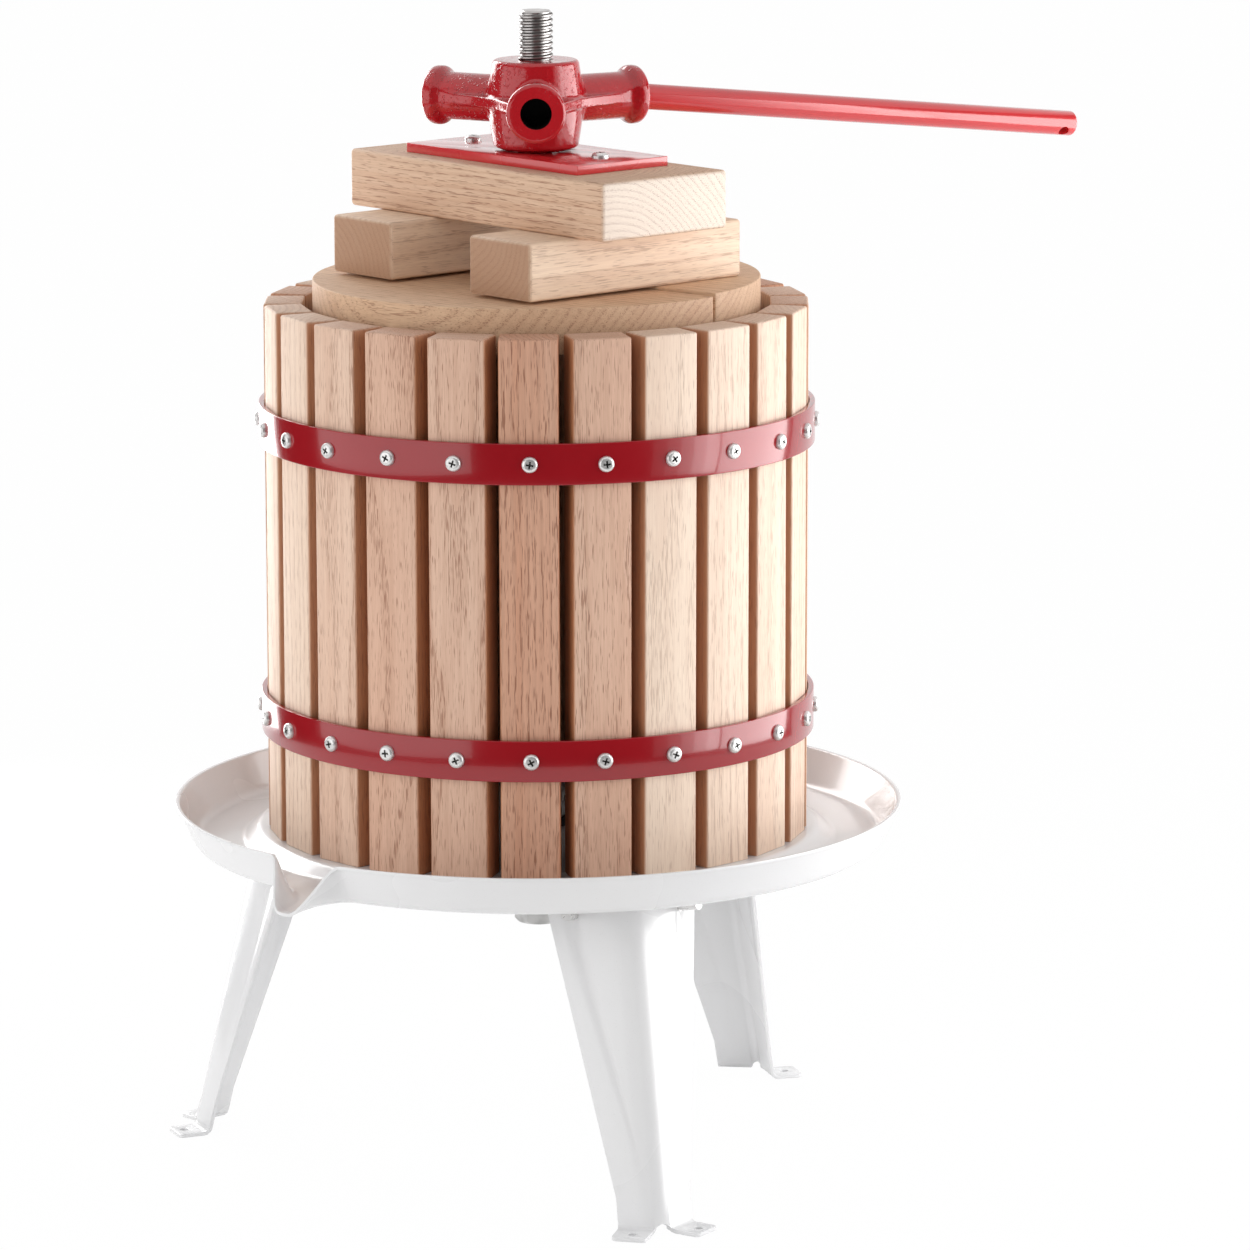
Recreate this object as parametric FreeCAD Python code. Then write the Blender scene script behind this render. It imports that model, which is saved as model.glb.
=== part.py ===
import FreeCAD, Part
import math
import os

# Basket fruit press on a three-legged juice tray. All sizes are in millimetres.
# The origin is on the floor under the screw, +Z is up and the front of the press faces -Y.
# An azimuth is measured from the front, and grows towards +X.

# Basket
HOOP_OUTSIDE = 290.0
HOOP_THICK = 3.0
HOOP_WIDTH = 21.0
HOOP_INSET = 63.0
SLAT_COUNT = 24
SLAT_LENGTH = 278.0
SLAT_THICK = 20.0
SLAT_GAP = 1.7
SLAT_BEVEL = 1.6
SLAT_TURN = -1.6

# Juice tray with its raised middle and pouring lip
TRAY_MARGIN = 46.0
TRAY_DEPTH = 20.0
TRAY_SHEET = 1.5
TRAY_WALL_LEAN = 11.0
TRAY_RIM = 2.0
PLATEAU_RISE = 6.5
PLATEAU_MARGIN = 4.0
PLATEAU_SLOPE = 6.0
LIP_TURN = -38.5
LIP_REACH = 16.0
LIP_DROP = 4.5
LIP_FLOOR = 14.0
LIP_MOUTH = 44.0
LIP_ROUND = 11.0
LIP_WING = 6.6
LIP_START = 20.0

# Legs, each bent from sheet to an open angle, with a straight heel above the foot
LEG_COUNT = 3
LEG_TURN = 19.4
LEG_ANGLE = 112.0
LEG_HEIGHT = 167.0
LEG_SHEET = 2.0
LEG_BEND = 9.0
LEG_TOP_WIDTH = 50.0
LEG_FOOT_WIDTH = 24.2
LEG_HEEL = 17.0
LEG_TOP_INSET = 39.5
LEG_FOOT_INSET = 0.5
FOOT_TAB_WIDTH = 18.0
FOOT_TAB_REACH = 16.0
FOOT_HOLE = 4.5
FOOT_HOLE_SETBACKS = (8.0, 10.0)
FOOT_RELIEF = 3.0

# Cast tripod plate under the tray
TRIPOD_SHEET = 4.0
TRIPOD_ARM = 44.0
TRIPOD_HUB = 90.0
TRIPOD_SKIRT = 22.0
TRIPOD_BOSS = 34.0
TRIPOD_DEPTH = 26.0
TRIPOD_RIB = 5.0
TRIPOD_RIB_END = 6.0

# Screw, its nuts and washers
SPINDLE_DIA = 18.0
SPINDLE_PROUD = 25.5
SPINDLE_CHAMFER = 1.5
TAIL_DIA = 14.0
UPPER_NUT = (27.0, 14.0)
UPPER_WASHER_DIA = 38.0
LOWER_NUT = (22.0, 13.0)
LOWER_WASHER_DIA = 28.0
WASHER_THICK = 3.0

# Hub nut with three sockets
HUB_HEIGHT = 45.0
HUB_END_DIA = 44.0
HUB_WAIST_DIA = 51.0
HUB_SEAT_DIA = 36.0
HUB_SEAT_HEIGHT = 1.5
HUB_BEVEL = 2.0
ARM_COUNT = 3
ARM_RISE = 23.5
ARM_REACH = 61.0
ARM_DIA = 25.0
ARM_RIM_DIA = 30.5
ARM_RIM_WIDTH = 6.0
SOCKET_DEPTH = 39.0
WEB_THICK = 5.6
WEB_SWEEP = 54.0

# Bar
BAR_DIA = 13.5
BAR_LENGTH = 297.0
BAR_INSERT = 20.0
BAR_CHAMFER = 1.2
BAR_HOLE = 6.0
BAR_HOLE_INSET = 8.0
BAR_HOLE_TURN = 40.0

# Press plate and the wooden stack below it
STACK_TURN = 41.0
BOARD_TURN = 51.0
PLATE_LENGTH = 135.0
PLATE_WIDTH = 62.0
PLATE_THICK = 5.0
PLATE_SCREW_SPAN = 100.0
TOP_BLOCK_LENGTH = 200.0
TOP_BLOCK_WIDTH = 85.0
CROSS_BLOCK_LENGTH = 145.0
CROSS_BLOCK_WIDTH = 47.5
CROSS_BLOCK_SPAN = 109.0
BLOCK_THICK = 30.0
BLOCK_BEVEL = 2.0
DISC_THICK = 25.0
DISC_PROUD = 13.0
DISC_SPLIT = 1.5

# Small screws: head diameter, head height, shank diameter. A hoop screw is modelled as its head.
SCREW_SIDES = 8
HOOP_SCREW = (8.2, 2.5)
PLATE_SCREW = (9.0, 3.0, 4.5)
PLATE_SCREW_LENGTH = 22.0
LEG_SCREW = (11.0, 3.6, 6.0)
LEG_SCREW_SETBACK = 13.0
LEG_SCREW_DROP = 10.0
LEG_NUT_FLATS = 10.0
LEG_NUT_HEIGHT = 5.0

# Clearances
HOOP_FIT = 0.1
SCREW_FIT = 0.05
HOLE_FIT = 0.3
THREAD_FIT = 0.08
TURN_FIT = 0.2
DISC_FIT = 4.8
WOOD_BORE_FIT = 3.0
BAR_FIT = 0.12
SOCKET_PLAY = 2.5
LEG_FIT = 0.1

# Heights and radii that follow from the sizes above
UP = FreeCAD.Vector(0, 0, 1)
hoop_radius = HOOP_OUTSIDE / 2
hoop_inside = hoop_radius - HOOP_THICK
half_pitch = math.pi / SLAT_COUNT
least_slat_back = hoop_inside * math.cos(half_pitch) - SLAT_THICK
slat_width = 2 * least_slat_back * math.tan(half_pitch) - SLAT_GAP
slat_flat = slat_width / 2 - SLAT_BEVEL
slat_face = math.sqrt((hoop_inside - HOOP_FIT) ** 2 - slat_flat ** 2)
slat_back = slat_face - SLAT_THICK

tray_floor = LEG_HEIGHT + TRAY_SHEET
tray_radius = hoop_radius + TRAY_MARGIN
basket_floor = tray_floor + PLATEAU_RISE
basket_top = basket_floor + SLAT_LENGTH
hoop_heights = (basket_floor + HOOP_INSET, basket_top - HOOP_INSET)

disc_radius = slat_back - DISC_FIT
disc_floor = basket_top + DISC_PROUD - DISC_THICK
cross_floor = disc_floor + DISC_THICK
top_floor = cross_floor + BLOCK_THICK
plate_floor = top_floor + BLOCK_THICK
hub_seat = plate_floor + PLATE_THICK + TURN_FIT
hub_floor = hub_seat + HUB_SEAT_HEIGHT
hub_top = hub_floor + HUB_HEIGHT
arm_height = hub_floor + ARM_RISE
arm_azimuths = [i * 360.0 / ARM_COUNT for i in range(ARM_COUNT)]
socket_radius = (BAR_DIA + SOCKET_PLAY) / 2
spindle_radius = SPINDLE_DIA / 2
wood_bore = spindle_radius + WOOD_BORE_FIT
tail_radius = TAIL_DIA / 2
tripod_floor = LEG_HEIGHT - TRIPOD_SHEET
boss_floor = tripod_floor - TRIPOD_DEPTH
lower_nut_floor = boss_floor - WASHER_THICK - LOWER_NUT[1]
shoulder = basket_floor - TRAY_SHEET

leg_foot_corner = tray_radius - LEG_FOOT_INSET
leg_top_corner = tray_radius - LEG_TOP_INSET
half_angle = math.radians(LEG_ANGLE / 2)


def at(x, y, z=0.0):
    return FreeCAD.Vector(x, y, z)


def turned(shape, azimuth):
    """A copy of a piece that was built at the front, moved round to its azimuth."""
    copy = shape.copy()
    copy.rotate(at(0, 0), UP, azimuth)
    return copy


def corner(before, point, after, radius):
    """Where a rounding starts, its middle and where it ends."""
    back = (before - point).normalize()
    ahead = (after - point).normalize()
    half_turn = (math.pi - back.getAngle(ahead)) / 2
    reach = radius * math.tan(half_turn)
    centre_way = (back + ahead).normalize()
    middle = point + centre_way * (radius / math.cos(half_turn) - radius)
    return point + back * reach, middle, point + ahead * reach


def loop(points):
    return Part.makePolygon(points + points[:1])


def eased_loop(points, radii):
    """A closed wire through the points, with each corner rounded in two flats."""
    line = []
    for i, point in enumerate(points):
        if radii[i] > 0:
            line += corner(points[i - 1], point, points[(i + 1) % len(points)], radii[i])
        else:
            line.append(point)
    return loop(line)


def side_normals(points):
    """The upward side of each run of a section drawn from the axis outwards."""
    normals = []
    for start, end in zip(points, points[1:]):
        along = (end - start).normalize()
        normals.append(at(-along.z, 0, along.x))
    return normals


def sheet_section(points, sheet):
    """The closed section of a sheet, from the line of its upper side."""
    normals = side_normals(points)
    under = [points[0] - normals[0] * sheet]
    for i in range(1, len(points) - 1):
        first, second = normals[i - 1], normals[i]
        under.append(points[i] - (first + second) * (sheet / (1 + first.dot(second))))
    under.append(points[-1] - normals[-1] * sheet)
    return loop(points + under[::-1])


def revolved(wire):
    return Part.Face(wire).revolve(at(0, 0), UP, 360)


def box(length, width, height, centre, base):
    """A box centred on a point of the plan, standing on a height."""
    return Part.makeBox(length, width, height, at(centre[0] - length / 2, centre[1] - width / 2, base))


def aimed(shape, point, direction):
    """A piece that was built along +Z, turned to a direction and moved to a point."""
    copy = shape.copy()
    move = FreeCAD.Placement(point, FreeCAD.Rotation(UP, direction))
    copy.Placement = move.multiply(copy.Placement)
    return copy


def prism(sides, diameter, height):
    """A prism that stands on z = 0, or hangs from it, with its corners on a circle."""
    points = []
    for i in range(sides):
        angle = 2 * math.pi * i / sides
        points.append(at(diameter / 2 * math.cos(angle), diameter / 2 * math.sin(angle)))
    return Part.Face(loop(points)).extrude(at(0, 0, height))


def screw(sizes, length):
    """A screw whose head seats on z = 0 and whose shank runs down from it, with few flat sides."""
    head = prism(SCREW_SIDES, sizes[0], sizes[1])
    return head.fuse(prism(SCREW_SIDES, sizes[2], -length))


def screw_hole(sizes, length, fit):
    """The hole for a screw's shank, running through z = 0, with as many sides as the shank."""
    hole = prism(SCREW_SIDES, sizes[2] + 2 * fit, 2 * length)
    hole.translate(at(0, 0, -length))
    return hole


def hexagon(flats, height):
    """An upright hexagon on z = 0, from its width across flats."""
    return prism(6, 2 * flats / math.sqrt(3), height)


def bevelled_nut(sizes, bore_radius, base):
    """A large nut standing on a height, with its lower corners turned off."""
    flats, height = sizes
    reach = flats / math.sqrt(3)
    bevel = (reach - flats / 2) / 2
    cone = Part.makeCone(flats / 2, flats / 2 + height / bevel, height)
    nut = hexagon(flats, height).common(cone)
    nut = nut.cut(Part.makeCylinder(bore_radius + SCREW_FIT, height))
    nut.translate(at(0, 0, base))
    return nut


def slat_azimuth(index):
    return SLAT_TURN + index * 360.0 / SLAT_COUNT


def slat():
    """A straight stave with bevelled outer edges and ends."""
    half = slat_width / 2
    points = [
        at(-half, -slat_back, basket_floor),
        at(-half, -slat_face + SLAT_BEVEL, basket_floor),
        at(-slat_flat, -slat_face, basket_floor),
        at(slat_flat, -slat_face, basket_floor),
        at(half, -slat_face + SLAT_BEVEL, basket_floor),
        at(half, -slat_back, basket_floor),
    ]
    stave = Part.Face(loop(points)).extrude(at(0, 0, SLAT_LENGTH))
    ends = []
    for edge in stave.Edges:
        level = edge.BoundBox.ZLength < 1e-6
        outside = edge.BoundBox.YMax < -slat_face + 1e-6
        if level and outside:
            ends.append(edge)
    return stave.makeChamfer(SLAT_BEVEL / 2, ends)


def hoop(height):
    """A flat steel band round the staves."""
    base = at(0, 0, height - HOOP_WIDTH / 2)
    band = Part.makeCylinder(hoop_radius, HOOP_WIDTH, base)
    return band.cut(Part.makeCylinder(hoop_inside, HOOP_WIDTH, base))


def hoop_screws(height):
    """The heads of a hoop's screws, one at each stave, just clear of the round band."""
    sag = HOOP_SCREW[0] ** 2 / (8 * hoop_radius)
    seat = at(0, -hoop_radius, height)
    placed = aimed(prism(SCREW_SIDES, HOOP_SCREW[0], HOOP_SCREW[1] - sag), seat, at(0, -1))
    return [turned(placed, slat_azimuth(i)) for i in range(SLAT_COUNT)]


def tray_line():
    """The upper side of the tray, from the axis to the edge of its narrow rim."""
    foot = hoop_inside + PLATEAU_MARGIN
    return [
        at(0, 0, basket_floor),
        at(foot, 0, basket_floor),
        at(foot + PLATEAU_SLOPE, 0, tray_floor),
        at(tray_radius - TRAY_WALL_LEAN, 0, tray_floor),
        at(tray_radius - TRAY_RIM, 0, tray_floor + TRAY_DEPTH),
        at(tray_radius, 0, tray_floor + TRAY_DEPTH),
    ]


def lip_trough(grow, beyond):
    """The lip's trough, falling outwards from the tray's floor; grown outwards by the sheet or not."""
    start = tray_radius - LIP_START
    run = LIP_START + LIP_REACH + beyond
    fall = LIP_DROP / (LIP_START + LIP_REACH)
    floor = tray_floor - grow
    rim = tray_floor + TRAY_DEPTH + fall * LIP_START - grow
    ceiling = rim + 2 * TRAY_DEPTH
    foot = LIP_FLOOR / 2 + grow
    shoulder_out = LIP_MOUTH / 2 + grow
    wing = shoulder_out + LIP_WING
    half = [
        at(foot, -start, floor),
        at(shoulder_out, -start, rim),
        at(wing, -start, rim),
        at(wing, -start, ceiling),
    ]
    mirrored = [at(-point.x, point.y, point.z) for point in half[::-1]]
    radii = [LIP_ROUND + grow, LIP_ROUND - grow, 0, 0]
    face = Part.Face(eased_loop(half + mirrored, radii + radii[::-1]))
    return face.extrude(at(0, -run, -run * fall))


def below_lip_edge():
    """The room below the slanting edge of the lip, from the tray's rim to the lip's tip."""
    rim = tray_floor + TRAY_DEPTH
    reach = tray_radius + LIP_REACH
    outline = Part.makePolygon([
        at(0, -tray_radius, rim),
        at(0, -reach, tray_floor - LIP_DROP),
        at(0, -reach, 0),
        at(0, -basket_floor / 2, 0),
        at(0, -basket_floor / 2, rim),
        at(0, -tray_radius, rim),
    ])
    room = Part.Face(outline).extrude(at(4 * LIP_MOUTH, 0))
    room.translate(at(-2 * LIP_MOUTH, 0))
    return room


def tray():
    """A pressed dish with a raised middle, a narrow flat rim and a pouring lip."""
    points = tray_line()
    dish = revolved(sheet_section(points, TRAY_SHEET))
    above = tray_floor + 4 * TRAY_DEPTH
    inside = revolved(loop(points[:-1] + [at(points[-2].x, 0, above), at(0, 0, above)]))
    hollow = lip_trough(0.0, LIP_ROUND)
    trough = lip_trough(TRAY_SHEET, 0.0).cut(hollow).cut(inside)
    lip = turned(trough.common(below_lip_edge()), LIP_TURN)
    dish = dish.fuse(lip).cut(turned(hollow, LIP_TURN))
    bore = Part.makeCylinder(spindle_radius + HOLE_FIT, basket_floor)
    return largest(dish.cut(bore))


def largest(shape):
    """The piece itself, without loose crumbs that a cut may leave."""
    return max(shape.Solids, key=lambda solid: solid.Volume)


def leg_corner(height):
    """How far the leg's bend is from the axis at a height."""
    share = height / LEG_HEIGHT
    return leg_foot_corner + (leg_top_corner - leg_foot_corner) * share


def leg_width(height):
    """The width of each side of a leg, which grows above the heel."""
    share = max(0.0, height - LEG_HEEL) / (LEG_HEIGHT - LEG_HEEL)
    return LEG_FOOT_WIDTH + (LEG_TOP_WIDTH - LEG_FOOT_WIDTH) * share


def leg_tip(height, inset):
    """The corner of a front leg's section, or of a section that lies this far inside it."""
    return at(0, -leg_corner(height) + inset / math.sin(half_angle), height)


# The way that each side of a front leg runs from its corner, and the way to that side's inner face
LEFT_WAY = at(-math.sin(half_angle), math.cos(half_angle))
RIGHT_WAY = at(math.sin(half_angle), math.cos(half_angle))
LEFT_INWARD = at(math.cos(half_angle), math.sin(half_angle))
RIGHT_INWARD = at(-math.cos(half_angle), math.sin(half_angle))


def angle_profile(height, inset, sheet, trim):
    """The angled section of a leg, or of what nests in it, with a faceted bend."""
    tip = leg_tip(height, inset)
    reach = leg_width(height) - inset / math.tan(half_angle) - trim
    inner = leg_tip(height, inset + sheet)
    left_end = tip + LEFT_WAY * reach
    right_end = tip + RIGHT_WAY * reach
    bend = LEG_BEND - inset
    outside = list(corner(left_end, tip, right_end, bend))
    inner_bend = max(bend - sheet, sheet / 2)
    inside = list(corner(inner + RIGHT_WAY, inner, inner + LEFT_WAY, inner_bend))
    ends = [right_end, right_end + RIGHT_INWARD * sheet]
    return outside + ends + inside + [left_end + LEFT_INWARD * sheet, left_end]


def angle_solid(low, high, inset, sheet, trim=0.0):
    """The solid between two such sections, with flat faces all round."""
    bottom = angle_profile(low, inset, sheet, trim)
    top = angle_profile(high, inset, sheet, trim)
    faces = [Part.Face(loop(bottom)), Part.Face(loop(top))]
    for i in range(len(bottom)):
        faces.append(Part.Face(loop([bottom[i - 1], bottom[i], top[i], top[i - 1]])))
    return Part.makeSolid(Part.makeShell(faces))


def leg_screw_places():
    """The seat and the outward way of a leg's two screws, on a leg that stands at the front."""
    height = LEG_HEIGHT - LEG_SCREW_DROP
    rise = at(0, leg_corner(0) - leg_corner(LEG_HEIGHT), LEG_HEIGHT)
    places = []
    for way in (LEFT_WAY, RIGHT_WAY):
        seat = leg_tip(height, 0) + way * (leg_width(height) - LEG_SCREW_SETBACK)
        outward = rise.cross(way).normalize()
        if outward.y > 0:
            outward = outward * -1
        places.append((seat, outward))
    return places


def foot_tab(way, inward, setback):
    """A flat tab that stands out from the foot of one side of a leg, with its hole this far out."""
    width = leg_width(0)
    start = leg_tip(0, 0)
    near = start + way * (width - FOOT_TAB_WIDTH)
    far = start + way * width
    out = inward * -FOOT_TAB_REACH
    back = inward * LEG_SHEET
    points = [near + back, far + back, far + out, near + out]
    tab = Part.Face(eased_loop(points, [0, 0, LEG_SHEET, LEG_SHEET])).extrude(at(0, 0, LEG_SHEET))
    middle = start + way * (width - FOOT_TAB_WIDTH / 2) - inward * setback
    return tab.cut(Part.makeCylinder(FOOT_HOLE / 2, LEG_SHEET, middle))


def leg():
    """A tapering angle of bent sheet that leans outwards and ends in two screw tabs."""
    body = angle_solid(0, LEG_HEEL, 0, LEG_SHEET).fuse(angle_solid(LEG_HEEL, LEG_HEIGHT, 0, LEG_SHEET))
    width = leg_width(0)
    reach = (width - FOOT_TAB_WIDTH) * math.sin(half_angle)
    relief = Part.makeBox(2 * reach, 2 * width, FOOT_RELIEF, at(-reach, -leg_corner(0) - width / 2, 0))
    body = body.cut(relief)
    body = body.fuse(foot_tab(LEFT_WAY, LEFT_INWARD, FOOT_HOLE_SETBACKS[0]))
    body = body.fuse(foot_tab(RIGHT_WAY, RIGHT_INWARD, FOOT_HOLE_SETBACKS[1]))
    for seat, outward in leg_screw_places():
        body = body.cut(aimed(screw_hole(LEG_SCREW, LEG_BEND, HOLE_FIT), seat, outward))
    return body.removeSplitter()


def tripod_arm():
    """One arm of the tripod plate, pointed to nest in the leg's bend, with a rib below it."""
    tip = leg_tip(tripod_floor, LEG_SHEET + LEG_FIT + TRIPOD_SHEET / 2)
    gable_side = TRIPOD_ARM / 2 / math.sin(half_angle)
    outline = [
        tip,
        tip + RIGHT_WAY * gable_side,
        at(TRIPOD_ARM / 2, 0, tripod_floor),
        at(-TRIPOD_ARM / 2, 0, tripod_floor),
        tip + LEFT_WAY * gable_side,
    ]
    arm = Part.Face(eased_loop(outline, [LEG_BEND / 2, 0, 0, 0, 0])).extrude(at(0, 0, TRIPOD_SHEET))
    rib_end = tip.y + gable_side * math.cos(half_angle)
    rib = Part.makePolygon([
        at(-TRIPOD_RIB / 2, 0, boss_floor + TRIPOD_RIB_END),
        at(-TRIPOD_RIB / 2, -TRIPOD_BOSS / 2, boss_floor + TRIPOD_RIB_END),
        at(-TRIPOD_RIB / 2, rib_end, tripod_floor - TRIPOD_RIB_END),
        at(-TRIPOD_RIB / 2, rib_end, tripod_floor),
        at(-TRIPOD_RIB / 2, 0, tripod_floor),
        at(-TRIPOD_RIB / 2, 0, boss_floor + TRIPOD_RIB_END),
    ])
    return arm.fuse(Part.Face(rib).extrude(at(TRIPOD_RIB, 0)))


def tripod():
    """The cast star plate under the tray, with a bent skirt that nests in each leg."""
    plate = Part.makeCylinder(TRIPOD_HUB / 2, TRIPOD_SHEET, at(0, 0, tripod_floor))
    plate = plate.fuse(Part.makeCylinder(UPPER_WASHER_DIA / 2, PLATEAU_RISE, at(0, 0, LEG_HEIGHT)))
    plate = plate.fuse(Part.makeCylinder(TRIPOD_BOSS / 2, TRIPOD_DEPTH, at(0, 0, boss_floor)))
    low = LEG_HEIGHT - TRIPOD_SKIRT
    skirt = angle_solid(low, LEG_HEIGHT, LEG_SHEET + LEG_FIT, TRIPOD_SHEET, LEG_SHEET)
    for seat, outward in leg_screw_places():
        skirt = skirt.cut(aimed(screw_hole(LEG_SCREW, LEG_BEND, HOLE_FIT), seat, outward))
    for i in range(LEG_COUNT):
        azimuth = LEG_TURN + i * 360.0 / LEG_COUNT
        plate = plate.fuse(turned(tripod_arm(), azimuth)).fuse(turned(skirt, azimuth))
    plate = plate.cut(Part.makeCylinder(tail_radius + HOLE_FIT, basket_floor))
    return plate.removeSplitter()


def leg_fastenings():
    """The screws that hold the legs to the tripod plate, and their nuts."""
    grip = LEG_SHEET + LEG_FIT + TRIPOD_SHEET
    blank = screw(LEG_SCREW, grip + LEG_NUT_HEIGHT + LEG_SHEET)
    hole = prism(SCREW_SIDES, LEG_SCREW[2] + 2 * SCREW_FIT, LEG_NUT_HEIGHT)
    nut = hexagon(LEG_NUT_FLATS, LEG_NUT_HEIGHT).cut(hole)
    nut.translate(at(0, 0, -grip - LEG_NUT_HEIGHT))
    screws = []
    nuts = []
    for i in range(LEG_COUNT):
        azimuth = LEG_TURN + i * 360.0 / LEG_COUNT
        for seat, outward in leg_screw_places():
            screws.append(turned(aimed(blank, seat, outward), azimuth))
            nuts.append(turned(aimed(nut, seat, outward), azimuth))
    return screws, nuts


def spindle():
    """The fixed screw, at its thread's outer diameter, with a thinner tail below its shoulder."""
    base = lower_nut_floor + SPINDLE_CHAMFER / 3
    top = hub_top + SPINDLE_PROUD
    points = [
        at(0, 0, base),
        at(tail_radius - SPINDLE_CHAMFER, 0, base),
        at(tail_radius, 0, base + SPINDLE_CHAMFER),
        at(tail_radius, 0, shoulder),
        at(spindle_radius, 0, shoulder),
        at(spindle_radius, 0, top - SPINDLE_CHAMFER),
        at(spindle_radius - SPINDLE_CHAMFER, 0, top),
        at(0, 0, top),
    ]
    return revolved(loop(points))


def spindle_washer(diameter, bore_radius, base):
    ring = Part.makeCylinder(diameter / 2, WASHER_THICK, at(0, 0, base))
    return ring.cut(Part.makeCylinder(bore_radius + SCREW_FIT, WASHER_THICK, at(0, 0, base)))


def hub_barrel():
    """The hub's middle, widest at the height of its sockets, on a narrow turned seat."""
    seat = HUB_SEAT_DIA / 2
    end = HUB_END_DIA / 2
    waist = HUB_WAIST_DIA / 2
    points = [
        at(0, 0, hub_seat),
        at(seat, 0, hub_seat),
        at(seat, 0, hub_floor),
        at(end - HUB_BEVEL, 0, hub_floor),
        at(end, 0, hub_floor + HUB_BEVEL),
        at(waist, 0, arm_height),
        at(end, 0, hub_top - HUB_BEVEL),
        at(end - HUB_BEVEL, 0, hub_top),
        at(0, 0, hub_top),
    ]
    return revolved(loop(points))


def socket_arm():
    """One arm of the hub, with its flared rim, reaching from the axis to the front."""
    radius = ARM_DIA / 2
    rim = ARM_RIM_DIA / 2
    rim_start = ARM_REACH - ARM_RIM_WIDTH
    flare = rim - radius
    points = [
        at(0, 0, 0),
        at(radius, 0, 0),
        at(radius, 0, rim_start - flare),
        at(rim, 0, rim_start + flare / 2),
        at(rim, 0, ARM_REACH - flare / 2),
        at(rim - flare / 2, 0, ARM_REACH),
        at(0, 0, ARM_REACH),
    ]
    return aimed(revolved(loop(points)), at(0, 0, arm_height), at(0, -1))


def socket_bore():
    """The blind hole for the bar, open at the front."""
    hole = Part.makeCylinder(socket_radius, SOCKET_DEPTH, at(0, 0, ARM_REACH - SOCKET_DEPTH))
    return aimed(hole, at(0, 0, arm_height), at(0, -1))


def hub_web():
    """The flat web that runs round the hub from arm to arm in hollow curves, tangent to the arms."""
    half = ARM_DIA / 2 - WEB_THICK / 10
    wedge = math.pi / ARM_COUNT
    corner = half / math.sin(wedge)
    run = WEB_SWEEP - half / math.tan(wedge)
    inner = corner + run * (1 / math.cos(wedge) - math.tan(wedge))
    base = arm_height - WEB_THICK / 2
    dip = at(inner * math.sin(wedge), -inner * math.cos(wedge), base)
    edges = []
    for azimuth in arm_azimuths:
        near = at(half, -WEB_SWEEP, base)
        opposite = at(-half, -WEB_SWEEP, base)
        far = FreeCAD.Rotation(UP, 360.0 / ARM_COUNT).multVec(opposite)
        edges.append(turned(Part.LineSegment(opposite, near).toShape(), azimuth))
        edges.append(turned(Part.Arc(near, dip, far).toShape(), azimuth))
    return Part.Face(Part.Wire(edges)).extrude(at(0, 0, WEB_THICK))


def hub():
    """The cast nut that runs down the screw, with its sockets for the bar."""
    body = hub_barrel().fuse(hub_web())
    for azimuth in arm_azimuths:
        body = body.fuse(turned(socket_arm(), azimuth))
    for azimuth in arm_azimuths:
        body = body.cut(turned(socket_bore(), azimuth))
    bore = Part.makeCylinder(spindle_radius + THREAD_FIT, hub_top - hub_seat, at(0, 0, hub_seat))
    return body.cut(bore).removeSplitter()


def bar_slope():
    """How far the bar droops in its socket, in radians: its play over half of what is inserted."""
    play = SOCKET_PLAY / 2 - BAR_FIT
    return math.atan(play / (BAR_INSERT / 2))


def bar():
    """A round bar that lies in the socket at the right, with a cross hole near its outer end."""
    rod = Part.makeCylinder(BAR_DIA / 2, BAR_LENGTH)
    rims = [edge for edge in rod.Edges if edge.BoundBox.ZLength < 1e-6]
    rod = rod.makeChamfer(BAR_CHAMFER, rims)
    hole = Part.makeCylinder(BAR_HOLE / 2, 2 * BAR_DIA, at(0, 0, -BAR_DIA))
    turn = math.radians(BAR_HOLE_TURN)
    across = at(math.sin(turn), -math.cos(turn))
    rod = rod.cut(aimed(hole, at(0, 0, BAR_LENGTH - BAR_HOLE_INSET), across))
    slope = bar_slope()
    way = at(math.cos(slope), 0, -math.sin(slope))
    middle = at(ARM_REACH - BAR_INSERT / 2, 0, arm_height)
    rod = aimed(rod, middle - way * (BAR_INSERT / 2), way)
    return turned(rod, arm_azimuths[1] - 90.0)


def eased_box(length, width, base):
    """A wooden block with all its edges bevelled."""
    block = box(length, width, BLOCK_THICK, (0, 0), base)
    return block.makeChamfer(BLOCK_BEVEL, block.Edges)


def press_plate():
    """The flat steel plate that the hub bears on."""
    plate = box(PLATE_LENGTH, PLATE_WIDTH, PLATE_THICK, (0, 0), plate_floor)
    plate = plate.cut(Part.makeCylinder(spindle_radius + HOLE_FIT, PLATE_THICK, at(0, 0, plate_floor)))
    for side in (-1, 1):
        seat = at(side * PLATE_SCREW_SPAN / 2, 0, plate_floor)
        plate = plate.cut(aimed(screw_hole(PLATE_SCREW, PLATE_SCREW_LENGTH, HOLE_FIT), seat, UP))
    return along_stack(plate)


def plate_screws():
    screws = []
    for side in (-1, 1):
        seat = at(side * PLATE_SCREW_SPAN / 2, 0, plate_floor + PLATE_THICK)
        screws.append(along_stack(aimed(screw(PLATE_SCREW, PLATE_SCREW_LENGTH), seat, UP)))
    return screws


def along_stack(shape):
    """Turns a piece built along +X so that its length points to the stack's azimuth."""
    return turned(shape, STACK_TURN - 90.0)


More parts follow.
